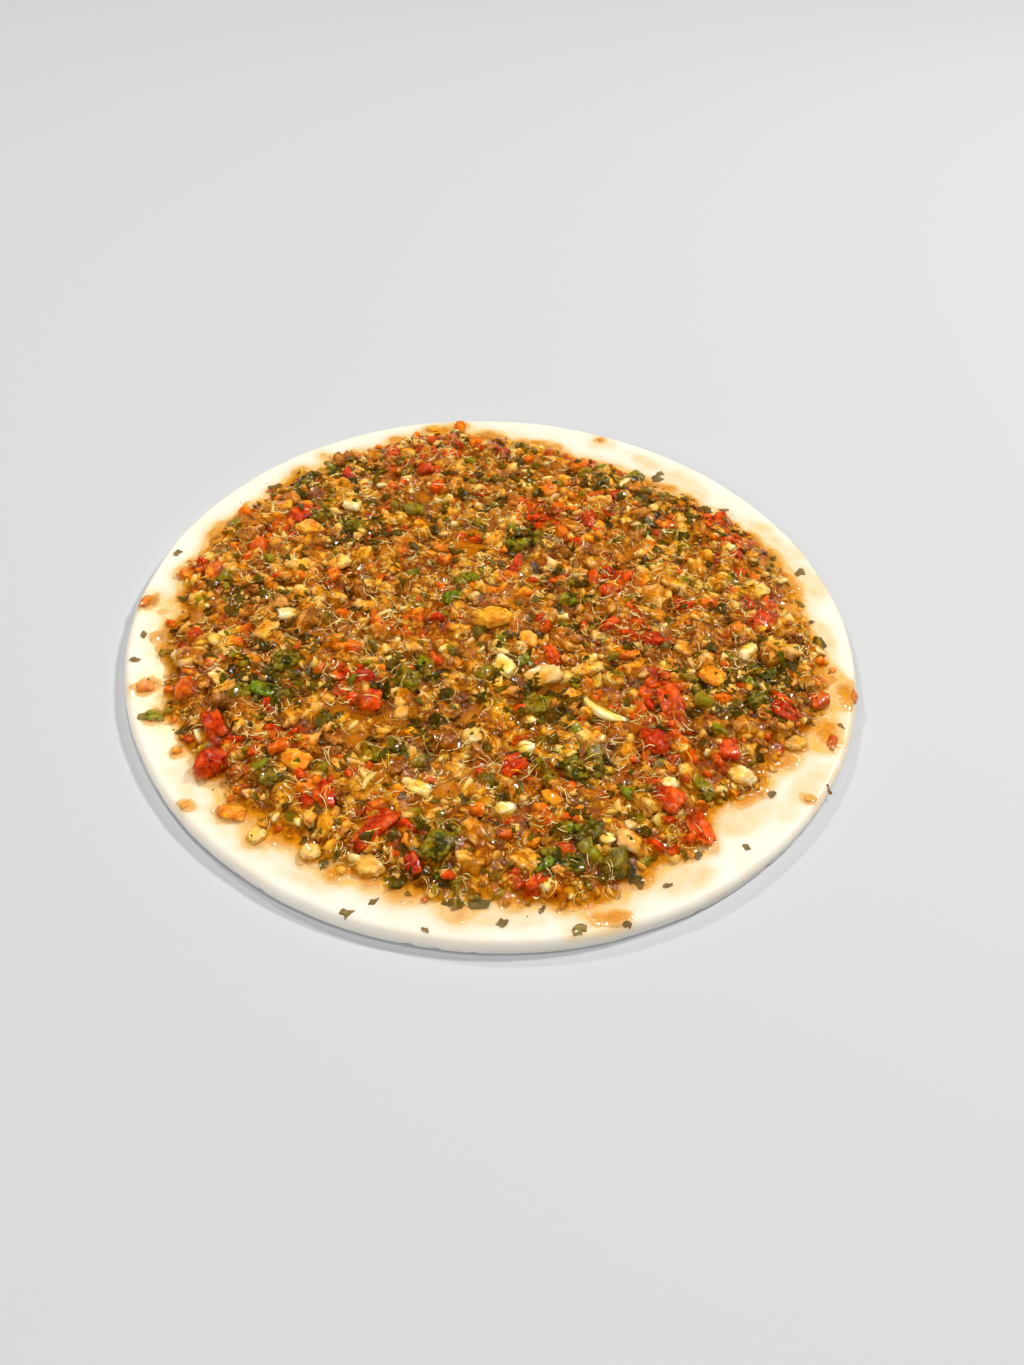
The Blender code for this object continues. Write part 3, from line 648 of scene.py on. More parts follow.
def leaf_unit(seed):
    """One flake of leaf, one unit across and one unit thick: a ragged, creased patch with a closed edge."""
    bm = bmesh.new()
    bmesh.ops.create_circle(bm, cap_ends=True, cap_tris=True, segments=8, radius=0.5)
    draw = np.random.default_rng(seed)
    for vertex in bm.verts:
        if vertex.co.length > 0.1:
            vertex.co *= draw.uniform(0.45, 1.25)
        vertex.co.z = draw.uniform(-1.0, 1.0)
    raised = bmesh.ops.extrude_face_region(bm, geom=bm.faces[:])["geom"]
    upper = [item for item in raised if isinstance(item, bmesh.types.BMVert)]
    bmesh.ops.translate(bm, vec=(0.0, 0.0, 1.0), verts=upper)
    bmesh.ops.triangulate(bm, faces=bm.faces[:])
    return shape_of(bm)


def string_unit(sides, cuts):
    """One thread, one unit long and one unit thick, that thins towards its ends."""
    bm = bmesh.new()
    bmesh.ops.create_cone(bm, cap_ends=True, segments=sides, radius1=0.5, radius2=0.5, depth=1.0)
    bmesh.ops.rotate(bm, verts=bm.verts, matrix=Matrix.Rotation(math.radians(90.0), 3, "Y"))
    long_edges = [e for e in bm.edges if abs(e.verts[0].co.x - e.verts[1].co.x) > 0.5]
    bmesh.ops.subdivide_edges(bm, edges=long_edges, cuts=cuts)
    for vertex in bm.verts:
        thinner = 1.0 - 0.75 * (2.0 * abs(vertex.co.x)) ** 3
        vertex.co.y *= thinner
        vertex.co.z *= thinner
    bmesh.ops.triangulate(bm, faces=bm.faces[:])
    return shape_of(bm)


def speck_unit(seed):
    """One speck of ground pepper, one unit across."""
    bm = bmesh.new()
    bmesh.ops.create_cone(bm, cap_ends=True, segments=4, radius1=0.5, radius2=0.28, depth=0.8)
    draw = np.random.default_rng(seed)
    for vertex in bm.verts:
        vertex.co *= draw.uniform(0.75, 1.1)
    bmesh.ops.triangulate(bm, faces=bm.faces[:])
    return shape_of(bm)


def shape_of(bm):
    """The vertices and faces of a mesh, with the faces pointing out."""
    bmesh.ops.recalc_face_normals(bm, faces=bm.faces)
    bm.verts.index_update()
    points = np.array([v.co for v in bm.verts])
    faces = np.array([[v.index for v in f.verts] for f in bm.faces])
    bm.free()
    return points, faces


SMALL_SHAPES, LUMP_SHAPES, LARGE_SHAPES, STRIP_SHAPES = 16, 16, 10, 3
SMALL_CUTS, LUMP_CUTS, LARGE_CUTS = 1, 3, 7
FLAT = (0.0, 0.0)
LEAF_SEED, SPECK_SEED = 200, 400
# The heights over which juice stops colouring a piece, over which its film stops tinting it, and over which
# painted light brightens it from hollows to crests. Then its brightness under the painted shade of hollows,
# and what painted light adds on crests.
JUICE_RISE, FILM_RISE, PAINTED_LIGHT_RISE = 0.9 * MM, 1.0 * MM, 1.8 * MM
PAINTED_SHADE_SHARE, PAINTED_LIGHT_GAIN = 0.22, 1.24
# Waves of shade and of brightness within one piece.
SHADE_WAVES, LIGHT_WAVES, LIGHT_SHARE = 1.3 * MM, 0.7 * MM, 0.2


def chopped_kinds(scene):
    """Every chopped kind's name, its settings and how many small pieces of it are tried."""
    kinds = [("mince", scene.lahmacun_mince, scene.lahmacun_mince.grains)]
    for kind in ("onion", "tomato", "red_pepper", "green_pepper"):
        settings = getattr(scene, "lahmacun_" + kind)
        kinds.append((kind, settings, settings.count))
    return kinds


# How likely each kind is to stay where it falls: anywhere, more in a red zone, and more in a green one.
LIKING = {
    "mince": (0.9, -0.5, -0.35),
    "onion": (0.8, -0.3, -0.2),
    "tomato": (0.30, 0.8, -0.1),
    "red_pepper": (0.12, 1.0, -0.05),
    "green_pepper": (0.28, -0.1, 0.9),
    "parsley": (0.22, -0.10, 1.0),
}


class Layout:
    """Places every piece of the topping on the spread, from the largest to the smallest."""

    def __init__(self, scene, seed):
        self.spread = Spread(scene.lahmacun_juice)
        self.draw = np.random.default_rng(seed)
        kinds = chopped_kinds(scene)
        self.settings = {kind: settings for kind, settings, _ in kinds}
        self.settings |= {"parsley": scene.lahmacun_parsley, "strings": scene.lahmacun_strings}
        self.settings["specks"] = scene.lahmacun_specks
        self.placed = {}
        self.set_large()
        self.set_scraps()
        self.set_lumps()
        self.set_small(kinds)
        self.spread.settle(scene.lahmacun_juice)
        self.set_painted_glint_ridges(scene.lahmacun_ridges)
        self.set_flakes()
        self.set_strings()

    def add(self, kind, form, shapes, x, y, z, size, turn, tilt, shade, bow=0.0):
        """Adds one piece, in one of the shapes that its form has. Its bow is a share of its length."""
        row = (self.draw.integers(shapes), x, y, z, *size, turn, *tilt, shade, bow)
        self.placed.setdefault((kind, form), []).append(row)

    def anywhere(self):
        """A random place on the whole disc, with its grid row and column."""
        away, turn = DOUGH_RADIUS * math.sqrt(self.draw.random()), self.draw.uniform(0.0, math.tau)
        x, y = away * math.cos(turn), away * math.sin(turn)
        return x, y, self.spread.cell(x), self.spread.cell(y)

    def stays(self, kind, row, column):
        """Whether a piece of this kind stays where it falls."""
        anywhere, in_red, in_green = LIKING[kind]
        red, green = self.spread.red[row, column], self.spread.green[row, column]
        return self.draw.random() < anywhere + in_red * red + in_green * green

    def film_at(self, x, y):
        """The height of the juice at a place, and 0 on bare dough."""
        return max(float(self.spread.sample(self.spread.film, x, y)), 0.0)

    def film_in(self, row, column):
        """The height of the juice in one cell, and 0 on bare dough."""
        return max(float(self.spread.film[row, column]), 0.0)

    def rough_size(self, long, wide, high):
        """A size with this length, its width and its height drawn as shares of it."""
        return np.array((long, long * self.draw.uniform(*wide), long * self.draw.uniform(*high)))

    def any_turn(self):
        """A random turn."""
        return self.draw.uniform(0.0, math.tau)

    def embed(self, kind, form, shapes, x, y, z, size, turn, tilt, shade, hold):
        """Adds a piece that the juice is drawn up round, kept under the highest point of the solids."""
        z = min(z, HIGHEST - DOUGH_TOP - 0.56 * size[2])
        self.add(kind, form, shapes, x, y, z, size, turn, tilt, shade)
        self.spread.stamp(x, y, z, size, turn, palette(self.settings[kind], shade), hold)

    def set_large(self):
        """Sets the largest pieces, each at its own place, sunk to about half."""
        for kind, pieces in (
            ("red_pepper", RED_PEPPER_PIECES),
            ("tomato", TOMATO_PIECES),
            ("green_pepper", GREEN_PEPPER_PIECES),
            ("onion", ONION_PIECES),
        ):
            for x, y, along, across, turn, shade in in_metres(pieces):
                size = np.array((along, across, min(0.75 * across, 3.6 * MM)))
                film = self.film_at(x, y)
                if film < 0.9 * MM:
                    size[2] *= 0.7
                tilt = self.draw.uniform(-0.2, 0.2, 2)
                z = film + 0.12 * size[2]
                hold = 1.3 if shade > 0.75 or along > 6.0 * MM else 1.0
                self.embed(kind, "large", LARGE_SHAPES, x, y, z, size, turn, tilt, shade, hold)
        for x, y, along, across, turn, shade in in_metres(ONION_STRIPS):
            size = np.array((along, across, 0.8 * across))
            z = self.film_at(x, y) + 0.3 * size[2]
            self.add("onion", "strip", STRIP_SHAPES, x, y, z, size, turn, FLAT, shade, 0.14)
            self.spread.stamp(x, y, z, size, turn, palette(self.settings["onion"], shade), 1.2)

    def set_scraps(self):
        """Soft scraps of topping that lie on the bare rim."""
        for x, y, along, across, turn, shade in in_metres(RIM_SCRAPS):
            size = np.array((along, across, 0.55 * across))
            self.embed("tomato", "large", LARGE_SHAPES, x, y, 0.1 * size[2], size, turn, FLAT, shade, 1.0)

    def set_lumps(self):
        """Clumps of mince, a few millimetres across and bumpy."""
        mince, draw, spread = self.settings["mince"], self.draw, self.spread
        made = 0
        for _ in range(12 * mince.clumps):
            x, y, row, column = self.anywhere()
            long = draw.uniform(2.6, 5.6) * MM
            if spread.inside[row, column] < long or spread.taken[row, column]:
                continue
            if draw.random() < spread.pool[row, column] or not self.stays("mince", row, column):
                continue
            size = self.rough_size(long, (0.6, 0.95), (0.45, 0.7))
            z = self.film_in(row, column) + draw.uniform(-0.2, 0.15) * size[2]
            tilt = draw.uniform(-0.3, 0.3, 2)
            turn = self.any_turn()
            self.embed("mince", "lump", LUMP_SHAPES, x, y, z, size, turn, tilt, draw.beta(1.3, 1.3), 0.8)
            made += 1
            if made == mince.clumps:
                return

    def set_small(self, kinds):
        """Fills the spread with small pieces, the longest first, clear of the middles of the others."""
        draw, spread = self.draw, self.spread
        waiting = []
        for kind, settings, count in kinds:
            share = draw.random(count) ** 1.25
            lengths = settings.smallest + share * (settings.largest - settings.smallest)
            waiting += [(long, kind) for long in lengths]
        waiting.sort(key=lambda item: -item[0])
        for long, kind in waiting:
            for _ in range(8):
                x, y, row, column = self.anywhere()
                bare = spread.inside[row, column] < draw.exponential(2.2) * MM - 2.0 * MM + 0.9 * long
                open_juice = draw.random() < 0.9 * spread.pool[row, column]
                if not (bare or spread.taken[row, column] or open_juice) and self.stays(kind, row, column):
                    break
            else:
                continue
            size = self.rough_size(long, (0.45, 0.95), (0.4, 0.75))
            film = self.film_in(row, column)
            below = max(float(spread.top[row, column]), 0.0) - film
            z = film + 0.6 * below + draw.uniform(-0.35, 0.25) * size[2]
            turn = self.any_turn()
            tilt = draw.uniform(-0.6, 0.6, 2)
            self.embed(kind, "small", SMALL_SHAPES, x, y, z, size, turn, tilt, draw.beta(1.2, 1.2), 0.7)

    def set_painted_glint_ridges(self, ridges):
        """Thin ridges of juice round the foot of many pieces, mostly near white as painted glints."""
        draw, spread = self.draw, self.spread
        rows = np.array([row for placed in self.placed.values() for row in placed])
        for row in rows[draw.integers(len(rows), size=ridges.count)]:
            x, y, along, across, turn = row[1], row[2], row[4], row[5], row[7]
            round_it = self.any_turn()
            out = draw.uniform(0.85, 1.25) * 0.5 * along * across / math.hypot(
                across * math.cos(round_it), along * math.sin(round_it)
            )
            x += out * math.cos(round_it + turn)
            y += out * math.sin(round_it + turn)
            far = spread.inside[spread.cell(x), spread.cell(y)]
            if far < 0.5 * MM or drift(x, y, 6.0 * MM, 81) < -0.45:
                continue
            long = max(draw.uniform(1.2, 2.8) * out, 1.3 * MM)
            thick = draw.uniform(0.5, 1.0) * ridges.thickness
            size = (long, thick, thick)
            lean = round_it + turn - 0.5 * math.pi + draw.uniform(-0.35, 0.35)
            # Shades drawn mostly near bright give the ridges their painted glint colour.
            z, bow, shade = -0.1 * thick, draw.uniform(0.08, 0.30), draw.beta(2.4, 1.0)
            self.add("ridges", "ridge", 1, x, y, z, size, lean, FLAT, shade, bow)

    def set_flakes(self):
        """Parsley flakes over everything, in drifts, after the named ones on the spread and the bare rim."""
        parsley, draw, spread = self.settings["parsley"], self.draw, self.spread
        for x, y, along, across, turn, shade in in_metres(PARSLEY_PIECES + RIM_FLAKES):
            size = (along, across, parsley.thickness)
            tilt = draw.uniform(-0.12, 0.12, 2)
            self.add("parsley", "flake", SMALL_SHAPES, x, y, 0.0, size, turn, tilt, shade)
        for _ in range(parsley.count):
            x, y, row, column = self.anywhere()
            if spread.inside[row, column] < draw.exponential(0.9) * MM - 0.6 * MM:
                continue
            if not self.stays("parsley", row, column):
                continue
            long = parsley.smallest + draw.random() ** 1.4 * (parsley.largest - parsley.smallest)
            size = (long, long * draw.uniform(0.45, 0.85), parsley.thickness)
            turn = self.any_turn()
            tilt = draw.uniform(-0.3, 0.3, 2)
            self.add("parsley", "flake", SMALL_SHAPES, x, y, 0.0, size, turn, tilt, draw.beta(1.1, 2.2))

    def set_strings(self):
        """Thin strings and specks of pepper, laid over the rest."""
        strings, draw, spread = self.settings["strings"], self.draw, self.spread
        for _ in range(strings.count):
            x, y, row, column = self.anywhere()
            if spread.inside[row, column] < 4.0 * MM:
                continue
            size = (draw.uniform(2.5, 9.0) * MM, strings.thickness, strings.thickness)
            turn, bow = self.any_turn(), draw.uniform(-0.3, 0.3)
            self.add("strings", "string", 1, x, y, 0.0, size, turn, FLAT, draw.random(), bow)
        for _ in range(self.settings["specks"].count):
            x, y, row, column = self.anywhere()
            if spread.inside[row, column] < -draw.exponential(1.6) * MM:
                continue
            size = np.full(3, draw.uniform(0.25, 0.6) * MM)
            turn = self.any_turn()
            self.add("specks", "speck", SMALL_SHAPES, x, y, 0.0, size, turn, draw.uniform(-0.6, 0.6, 2), 0.0)


@functools.lru_cache(maxsize=1)
def laid_out(seed=7):
    """The whole topping, worked out once and shared by the operators."""
    return Layout(bpy.context.scene, seed)


def spun(rows):
    """The rotation of each row's turn and two tilts, as a stack of 3 by 3 matrices."""
    turn, tilt_x, tilt_y = rows[:, 7], rows[:, 8], rows[:, 9]
    c, s = np.cos(turn), np.sin(turn)
    cx, sx, cy, sy = np.cos(tilt_x), np.sin(tilt_x), np.cos(tilt_y), np.sin(tilt_y)
    zero, one = np.zeros_like(c), np.ones_like(c)
    about_z = np.array([[c, -s, zero], [s, c, zero], [zero, zero, one]]).transpose(2, 0, 1)
    about_x = np.array([[one, zero, zero], [zero, cx, -sx], [zero, sx, cx]]).transpose(2, 0, 1)
    about_y = np.array([[cy, zero, sy], [zero, one, zero], [-sy, zero, cy]]).transpose(2, 0, 1)
    return about_z @ about_x @ about_y


def copies(shapes, rows, spread, settings, drape=None, soak=(0.08, 0.8), spotted=0.35, shaded=1.0):
    """Joined copies of the unit shapes: points, faces and tints. A drape is the raster that they lie on.

    Soak is the share of juice in a piece's tint at its crest and at the juice line. Spotted is how far the
    shade wanders within one piece. Shaded is how much the juice film tints it and how strongly painted
    light and shade show on it: brighter on crests, darker in hollows.
    """
    rows = np.array(rows, float)
    all_points, all_faces, all_tints, start = [], [], [], 0
    for number_of_shape, (points, faces) in enumerate(shapes):
        own = rows[rows[:, 0] == number_of_shape]
        if not len(own):
            continue
        local = points[None] * own[:, None, 4:7]
        along = points[None, :, 0]
        local[:, :, 1] += own[:, None, 11] * own[:, None, 4] * (0.5 - 4.0 * along**2)
        placed = np.einsum("pij,pvj->pvi", spun(own), local)
        placed += own[:, None, 1:4]
        x, y = placed[:, :, 0], placed[:, :, 1]
        if drape is not None:
            placed[:, :, 2] += np.maximum(spread.sample(drape, x, y), 0.0)
        above = placed[:, :, 2] - np.maximum(spread.sample(spread.level, x, y), 0.0)
        share = soak[0] + (soak[1] - soak[0]) * (1.0 - ease(above / JUICE_RISE + 0.15))
        above_average = placed[:, :, 2] - spread.sample(spread.average, x, y)
        placed[:, :, 2] += DOUGH_TOP - edge_drop(x, y)
        shade = own[:, None, 10] + spotted * drift(x, y + placed[:, :, 2], SHADE_WAVES, 61)
        bare = 0.9 * ease(above / FILM_RISE)[..., None]
        film = np.asarray(bpy.context.scene.lahmacun_juice.film) ** (shaded * (1.0 - bare))
        seen = palette(settings, shade) * film
        tints = mixed(seen, spread.sample(spread.tint, x, y), share)
        tints *= (1.0 + LIGHT_SHARE * drift(x, y - placed[:, :, 2], LIGHT_WAVES, 62))[..., None]
        # Painted light and shade: a piece is brighter where it stands above the average height nearby, darker
        # below it.
        crest = PAINTED_SHADE_SHARE + PAINTED_LIGHT_GAIN * ease(0.5 + above_average / PAINTED_LIGHT_RISE)
        tints *= (crest**shaded)[..., None]
        offsets = start + len(points) * np.arange(len(own))
        all_points.append(placed.reshape(-1, 3))
        all_tints.append(tints.reshape(-1, 3))
        all_faces.append((faces[None] + offsets[:, None, None]).reshape(-1, faces.shape[1]))
        start += len(own) * len(points)
    return np.concatenate(all_points), all_faces, np.concatenate(all_tints)


def joined(parts):
    """Several sets of points, faces and tints as one set. All faces of one part have as many corners."""
    points, faces, tints, start = [], [], [], 0
    for part_points, part_faces, part_tints in parts:
        points.append(part_points)
        tints.append(part_tints)
        faces += [block + start for block in part_faces]
        start += len(part_points)
    return np.concatenate(points), faces, np.concatenate(tints)


def mesh_of(name, points, faces, tints):
    """A smooth-shaded mesh from joined copies, with the tint of every point as a colour attribute."""
    mesh = bpy.data.meshes.new(name)
    corners = np.concatenate([block.ravel() for block in faces])
    sides = np.concatenate([np.full(len(block), block.shape[1]) for block in faces])
    mesh.vertices.add(len(points))
    mesh.vertices.foreach_set("co", points.astype(np.float32).ravel())
    mesh.loops.add(len(corners))
    mesh.loops.foreach_set("vertex_index", corners.astype(np.int32))
    mesh.polygons.add(len(sides))
    mesh.polygons.foreach_set("loop_start", np.concatenate(([0], np.cumsum(sides)[:-1])).astype(np.int32))
    mesh.update(calc_edges=True)
    mesh.validate()
    add_tints(mesh, tints)
    return mesh


def add_tints(mesh, tints):
    """Stores a colour for each point of the mesh."""
    attribute = mesh.color_attributes.new("tint", "FLOAT_COLOR", "POINT")
    rgba = np.concatenate([np.clip(tints, 0.0, 1.0), np.ones((len(tints), 1))], axis=1)
    attribute.data.foreach_set("color", rgba.astype(np.float32).ravel())
    mesh.shade_smooth()


def add_values(mesh, name, values):
    """Stores a number for each point of the mesh."""
    mesh.attributes.new(name, "FLOAT", "POINT").data.foreach_set("value", values.astype(np.float32))


def points_of(mesh):
    """Where the points of a mesh lie, as their x, their y and their z."""
    places = np.empty(len(mesh.vertices) * 3)
    mesh.vertices.foreach_get("co", places)
    return places.reshape(-1, 3).T


def mesh_from(bm, name):
    """Turns a finished bmesh into a mesh."""
    mesh = bpy.data.meshes.new(name)
    bm.to_mesh(mesh)
    bm.free()
    return mesh


def add_piece(name, mesh, material, node):
    """Puts a finished mesh in the scene as one piece that stands for a solid of the frame."""
    mesh.materials.append(material)
    piece = bpy.data.objects.new(name, mesh)
    bpy.context.scene.collection.objects.link(piece)
    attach(piece, "root")
    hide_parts(node)


def node(tree, kind, inputs=None, **settings):
    """Adds a node, sets its properties, and sets or links its inputs by name or number."""
    made = tree.nodes.new(kind)
    for key, value in settings.items():
        setattr(made, key, value)
    for key, value in (inputs or {}).items():
        if isinstance(value, bpy.types.NodeSocket):
            tree.links.new(value, made.inputs[key])
        else:
            made.inputs[key].default_value = value
    return made


def blank_material(name):
    """A material and its node tree, still empty."""
    material = bpy.data.materials.new(name)
    material.use_nodes = True
    material.node_tree.nodes.clear()
    return material, material.node_tree


def end_tree(tree, inputs):
    """Ends a material's tree with its shader, set and linked by these inputs, and its output."""
    shader = node(tree, "ShaderNodeBsdfPrincipled", inputs)
    node(tree, "ShaderNodeOutputMaterial", {"Surface": shader.outputs["BSDF"]})


def object_place(tree):
    """Where each point lies in the object, as a socket."""
    return node(tree, "ShaderNodeTexCoord").outputs["Object"]


def stored(tree, name, output="Color"):
    """What the mesh stores under this name, as a socket."""
    return node(tree, "ShaderNodeAttribute", attribute_name=name).outputs[output]


def noise_at(tree, place, size, detail=2.0):
    """Soft noise in waves of a real size in metres, as its factor socket."""
    inputs = {"Vector": place, "Scale": 1.0 / size, "Detail": detail}
    return node(tree, "ShaderNodeTexNoise", inputs).outputs["Fac"]


def remap(tree, value, low, high, to_low, to_high, **settings):
    """Maps a value from one range to another, held at both ends."""
    inputs = {"Value": value, "From Min": low, "From Max": high, "To Min": to_low, "To Max": to_high}
    return node(tree, "ShaderNodeMapRange", inputs, **settings).outputs["Result"]


def blend(tree, share, first, second, how="MIX"):
    """Blends two colours; a colour may be a socket or an sRGB hex value."""
    first, second = ((*linear(c), 1.0) if isinstance(c, str) else c for c in (first, second))
    inputs = {0: share, 6: first, 7: second}
    return node(tree, "ShaderNodeMix", inputs, data_type="RGBA", blend_type=how).outputs[2]


def bump(tree, height, depth, strength=1.0, normal=None):
    """Turns a height into a bent normal. The depth is a real one in metres."""
    inputs = {"Height": height, "Distance": depth, "Strength": strength}
    if normal is not None:
        inputs["Normal"] = normal
    return node(tree, "ShaderNodeBump", inputs).outputs["Normal"]


def swirled(tree, place, size, detail, push):
    """A place pushed about by swirls of a real size, so that cells drawn from it look uneven."""
    swirl = node(tree, "ShaderNodeTexNoise", {"Vector": place, "Scale": 1.0 / size, "Detail": detail})
    inputs = {0: swirl.outputs["Color"], 1: (push, push, push), 2: place}
    return node(tree, "ShaderNodeVectorMath", inputs, operation="MULTIPLY_ADD").outputs["Vector"]


def cells_at(tree, place, size):
    """Cells of a real size in metres, as their node."""
    return node(tree, "ShaderNodeTexVoronoi", {"Vector": place, "Scale": 1.0 / size}, feature="F1")


def juice_film(tree, place):
    """The normal of the clear juice over everything: level, with low rises that glint along their sides."""
    bent = swirled(tree, place, 1.7 * MM, 1.0, 1.6 * MM)
    normal = None
    for size, depth in ((3.2 * MM, 0.28 * MM), (1.6 * MM, 0.13 * MM), (0.9 * MM, 0.05 * MM)):
        far = cells_at(tree, bent, size).outputs["Distance"]
        height = remap(tree, far, 0.46, 0.18, 0.0, 1.0, interpolation_type="SMOOTHSTEP")
        normal = bump(tree, height, depth, normal=normal)
    return normal


def wet_share(tree, place):
    """How much clear juice lies over each spot: full in patches, hardly any between them."""
    return remap(tree, noise_at(tree, place, 2.4 * MM), 0.44, 0.56, 0.1, 1.0)


def wet_surface(tree, place, colour, roughness, normal, glow, glow_depth, juice_index):
    """Ends a tree as soft food that light sinks into, under patches of clear juice that alone shine."""
    inputs = {
        "Base Color": colour,
        "Roughness": roughness,
        "IOR": 1.38,
        "Specular IOR Level": 0.05,
        "Normal": normal,
        "Subsurface Weight": glow,
        "Subsurface Radius": (1.0, 0.42, 0.16),
        "Subsurface Scale": glow_depth,
        "Coat Weight": wet_share(tree, place),
        "Coat Roughness": 0.07,
        "Coat IOR": juice_index,
        "Coat Normal": juice_film(tree, place),
    }
    end_tree(tree, inputs)


def wet_food(name, grain, dark, pale, relief, roughness, glow, glow_depth):
    """A wet chopped food: tinted by its points, mottled at the size of its own grain, under a film of juice.

    Grain, relief and glow_depth are real sizes in millimetres. Dark and pale are how strongly the mottles
    show, and glow is how much of the light sinks in.
    """
    material, tree = blank_material(name)
    place = object_place(tree)
    mottle = noise_at(tree, place, grain * MM, 3.0)
    dark_share = remap(tree, mottle, 0.5, 0.28, 0.0, dark)
    pale_share = remap(tree, mottle, 0.55, 0.74, 0.0, pale)
    colour = blend(tree, dark_share, stored(tree, "tint"), "9C480C", "MULTIPLY")
    colour = blend(tree, pale_share, colour, "EFC473")
    uneven = remap(tree, mottle, 0.3, 0.7, 0.75 * roughness, 1.3 * roughness)
    fine = bump(tree, noise_at(tree, place, 0.55 * grain * MM), relief * MM)
    wet_surface(tree, place, colour, uneven, fine, glow, glow_depth * MM, juice_index=1.5)
    return material


def juicy_paste(film):
    """Fine crumbs of every kind, with painted shade between them, in clear amber juice whose own smooth
    surface glints over them.
    """
    material, tree = blank_material("juicy_mince_paste")
    place = object_place(tree)
    open_juice = stored(tree, "open_juice", "Fac")
    crumbs = cells_at(tree, swirled(tree, place, 1.6 * MM, 2.0, 1.4 * MM), 0.8 * MM)
    each = node(tree, "ShaderNodeSeparateColor", {"Color": crumbs.outputs["Color"]}).outputs["Red"]
    ramp = node(tree, "ShaderNodeValToRGB", {"Fac": each})
    ramp.color_ramp.interpolation = "CONSTANT"
    stops = (
        (0.0, "4E2808"), (0.15, "A8661A"), (0.30, "D29A48"), (0.44, "86701C"), (0.56, "B8641A"),
        (0.66, "F2D6A0"), (0.80, "74400E"), (0.92, "AE3406"),
    )  # fmt: skip
    while len(ramp.color_ramp.elements) < len(stops):
        ramp.color_ramp.elements.new(0.5)
    for element, (position, hex_colour) in zip(ramp.color_ramp.elements, stops):
        element.position = position
        element.color = (*(a * b for a, b in zip(linear(hex_colour), film)), 1.0)
    crumb_share = remap(tree, open_juice, 0.0, 1.0, 0.32, 0.12)
    colour = blend(tree, crumb_share, stored(tree, "tint"), ramp.outputs["Color"])
    # Painted shade: crumbs darken towards the edges of their cells, where one meets the next, least in open
    # juice.
    deepest_painted_shade = remap(tree, open_juice, 0.0, 1.0, 0.45, 0.0)
    painted_gap_shade = remap(tree, crumbs.outputs["Distance"], 0.42, 0.75, 0.0, deepest_painted_shade)
    colour = blend(tree, painted_gap_shade, colour, "7A3204", "MULTIPLY")
    fine = bump(tree, remap(tree, crumbs.outputs["Distance"], 0.0, 0.8, 1.0, 0.0), 0.14 * MM)
    wet_surface(
        tree, place, colour, roughness=0.3, normal=fine, glow=0.15, glow_depth=0.8 * MM, juice_index=1.48
    )
    return material


def raw_dough():
    """Raw wheat dough, rolled and rested: off-white, faintly speckled, satin, with light sinking into it."""
    material, tree = blank_material("raw_wheat_dough")
    place = object_place(tree)
    clouds = remap(tree, noise_at(tree, place, 6.0 * MM, 4.0), 0.3, 0.7, 0.0, 0.35)
    inputs = {
        "Base Color": blend(tree, clouds, stored(tree, "tint"), "F7F3EC", "MULTIPLY"),
        "Roughness": remap(tree, stored(tree, "soaked", "Fac"), 0.0, 1.0, 0.46, 0.16),
        "IOR": 1.42,
        "Normal": bump(tree, noise_at(tree, place, 0.7 * MM, 3.0), 0.05 * MM, 0.6),
        "Subsurface Weight": 0.35,
        "Subsurface Radius": (1.0, 0.75, 0.5),
        "Subsurface Scale": 1.6 * MM,
    }
    end_tree(tree, inputs)
    return material


def plain_floor(colour):
    """A matt painted studio floor: even, pale, with only the faintest sheen."""
    material, tree = blank_material("matt_studio_floor")
    end_tree(tree, {"Base Color": (*colour, 1.0), "Roughness": 0.7})
    return material


def dough_profile(foot):
    """The half section of the dough as radius and height, from the middle of its foot to that of its top."""
    foot_steps, edge_steps, ring_width, inner_share = 4, 8, 0.7 * MM, 0.78
    section = [(share * DOUGH_RADIUS, 0.0) for share in (0.0, 0.5, 0.9)]
    for step in range(foot_steps + 1):
        turn = 0.5 * math.pi * step / foot_steps
        section.append((DOUGH_RADIUS - foot * (1.0 - math.sin(turn)), foot * (1.0 - math.cos(turn))))
    for step in range(edge_steps + 1):
        turn = 0.5 * math.pi * step / edge_steps
        radius = DOUGH_RADIUS - EDGE_ROUND * (1.0 - math.cos(turn))
        section.append((radius, DOUGH_TOP - EDGE_ROUND * (1.0 - math.sin(turn))))
    ring = DOUGH_RADIUS - EDGE_ROUND
    while ring > inner_share * DOUGH_RADIUS:
        ring -= ring_width
        section.append((ring, DOUGH_TOP))
    return section + [(share * DOUGH_RADIUS, DOUGH_TOP) for share in (0.7, 0.55, 0.3, 0.0)]


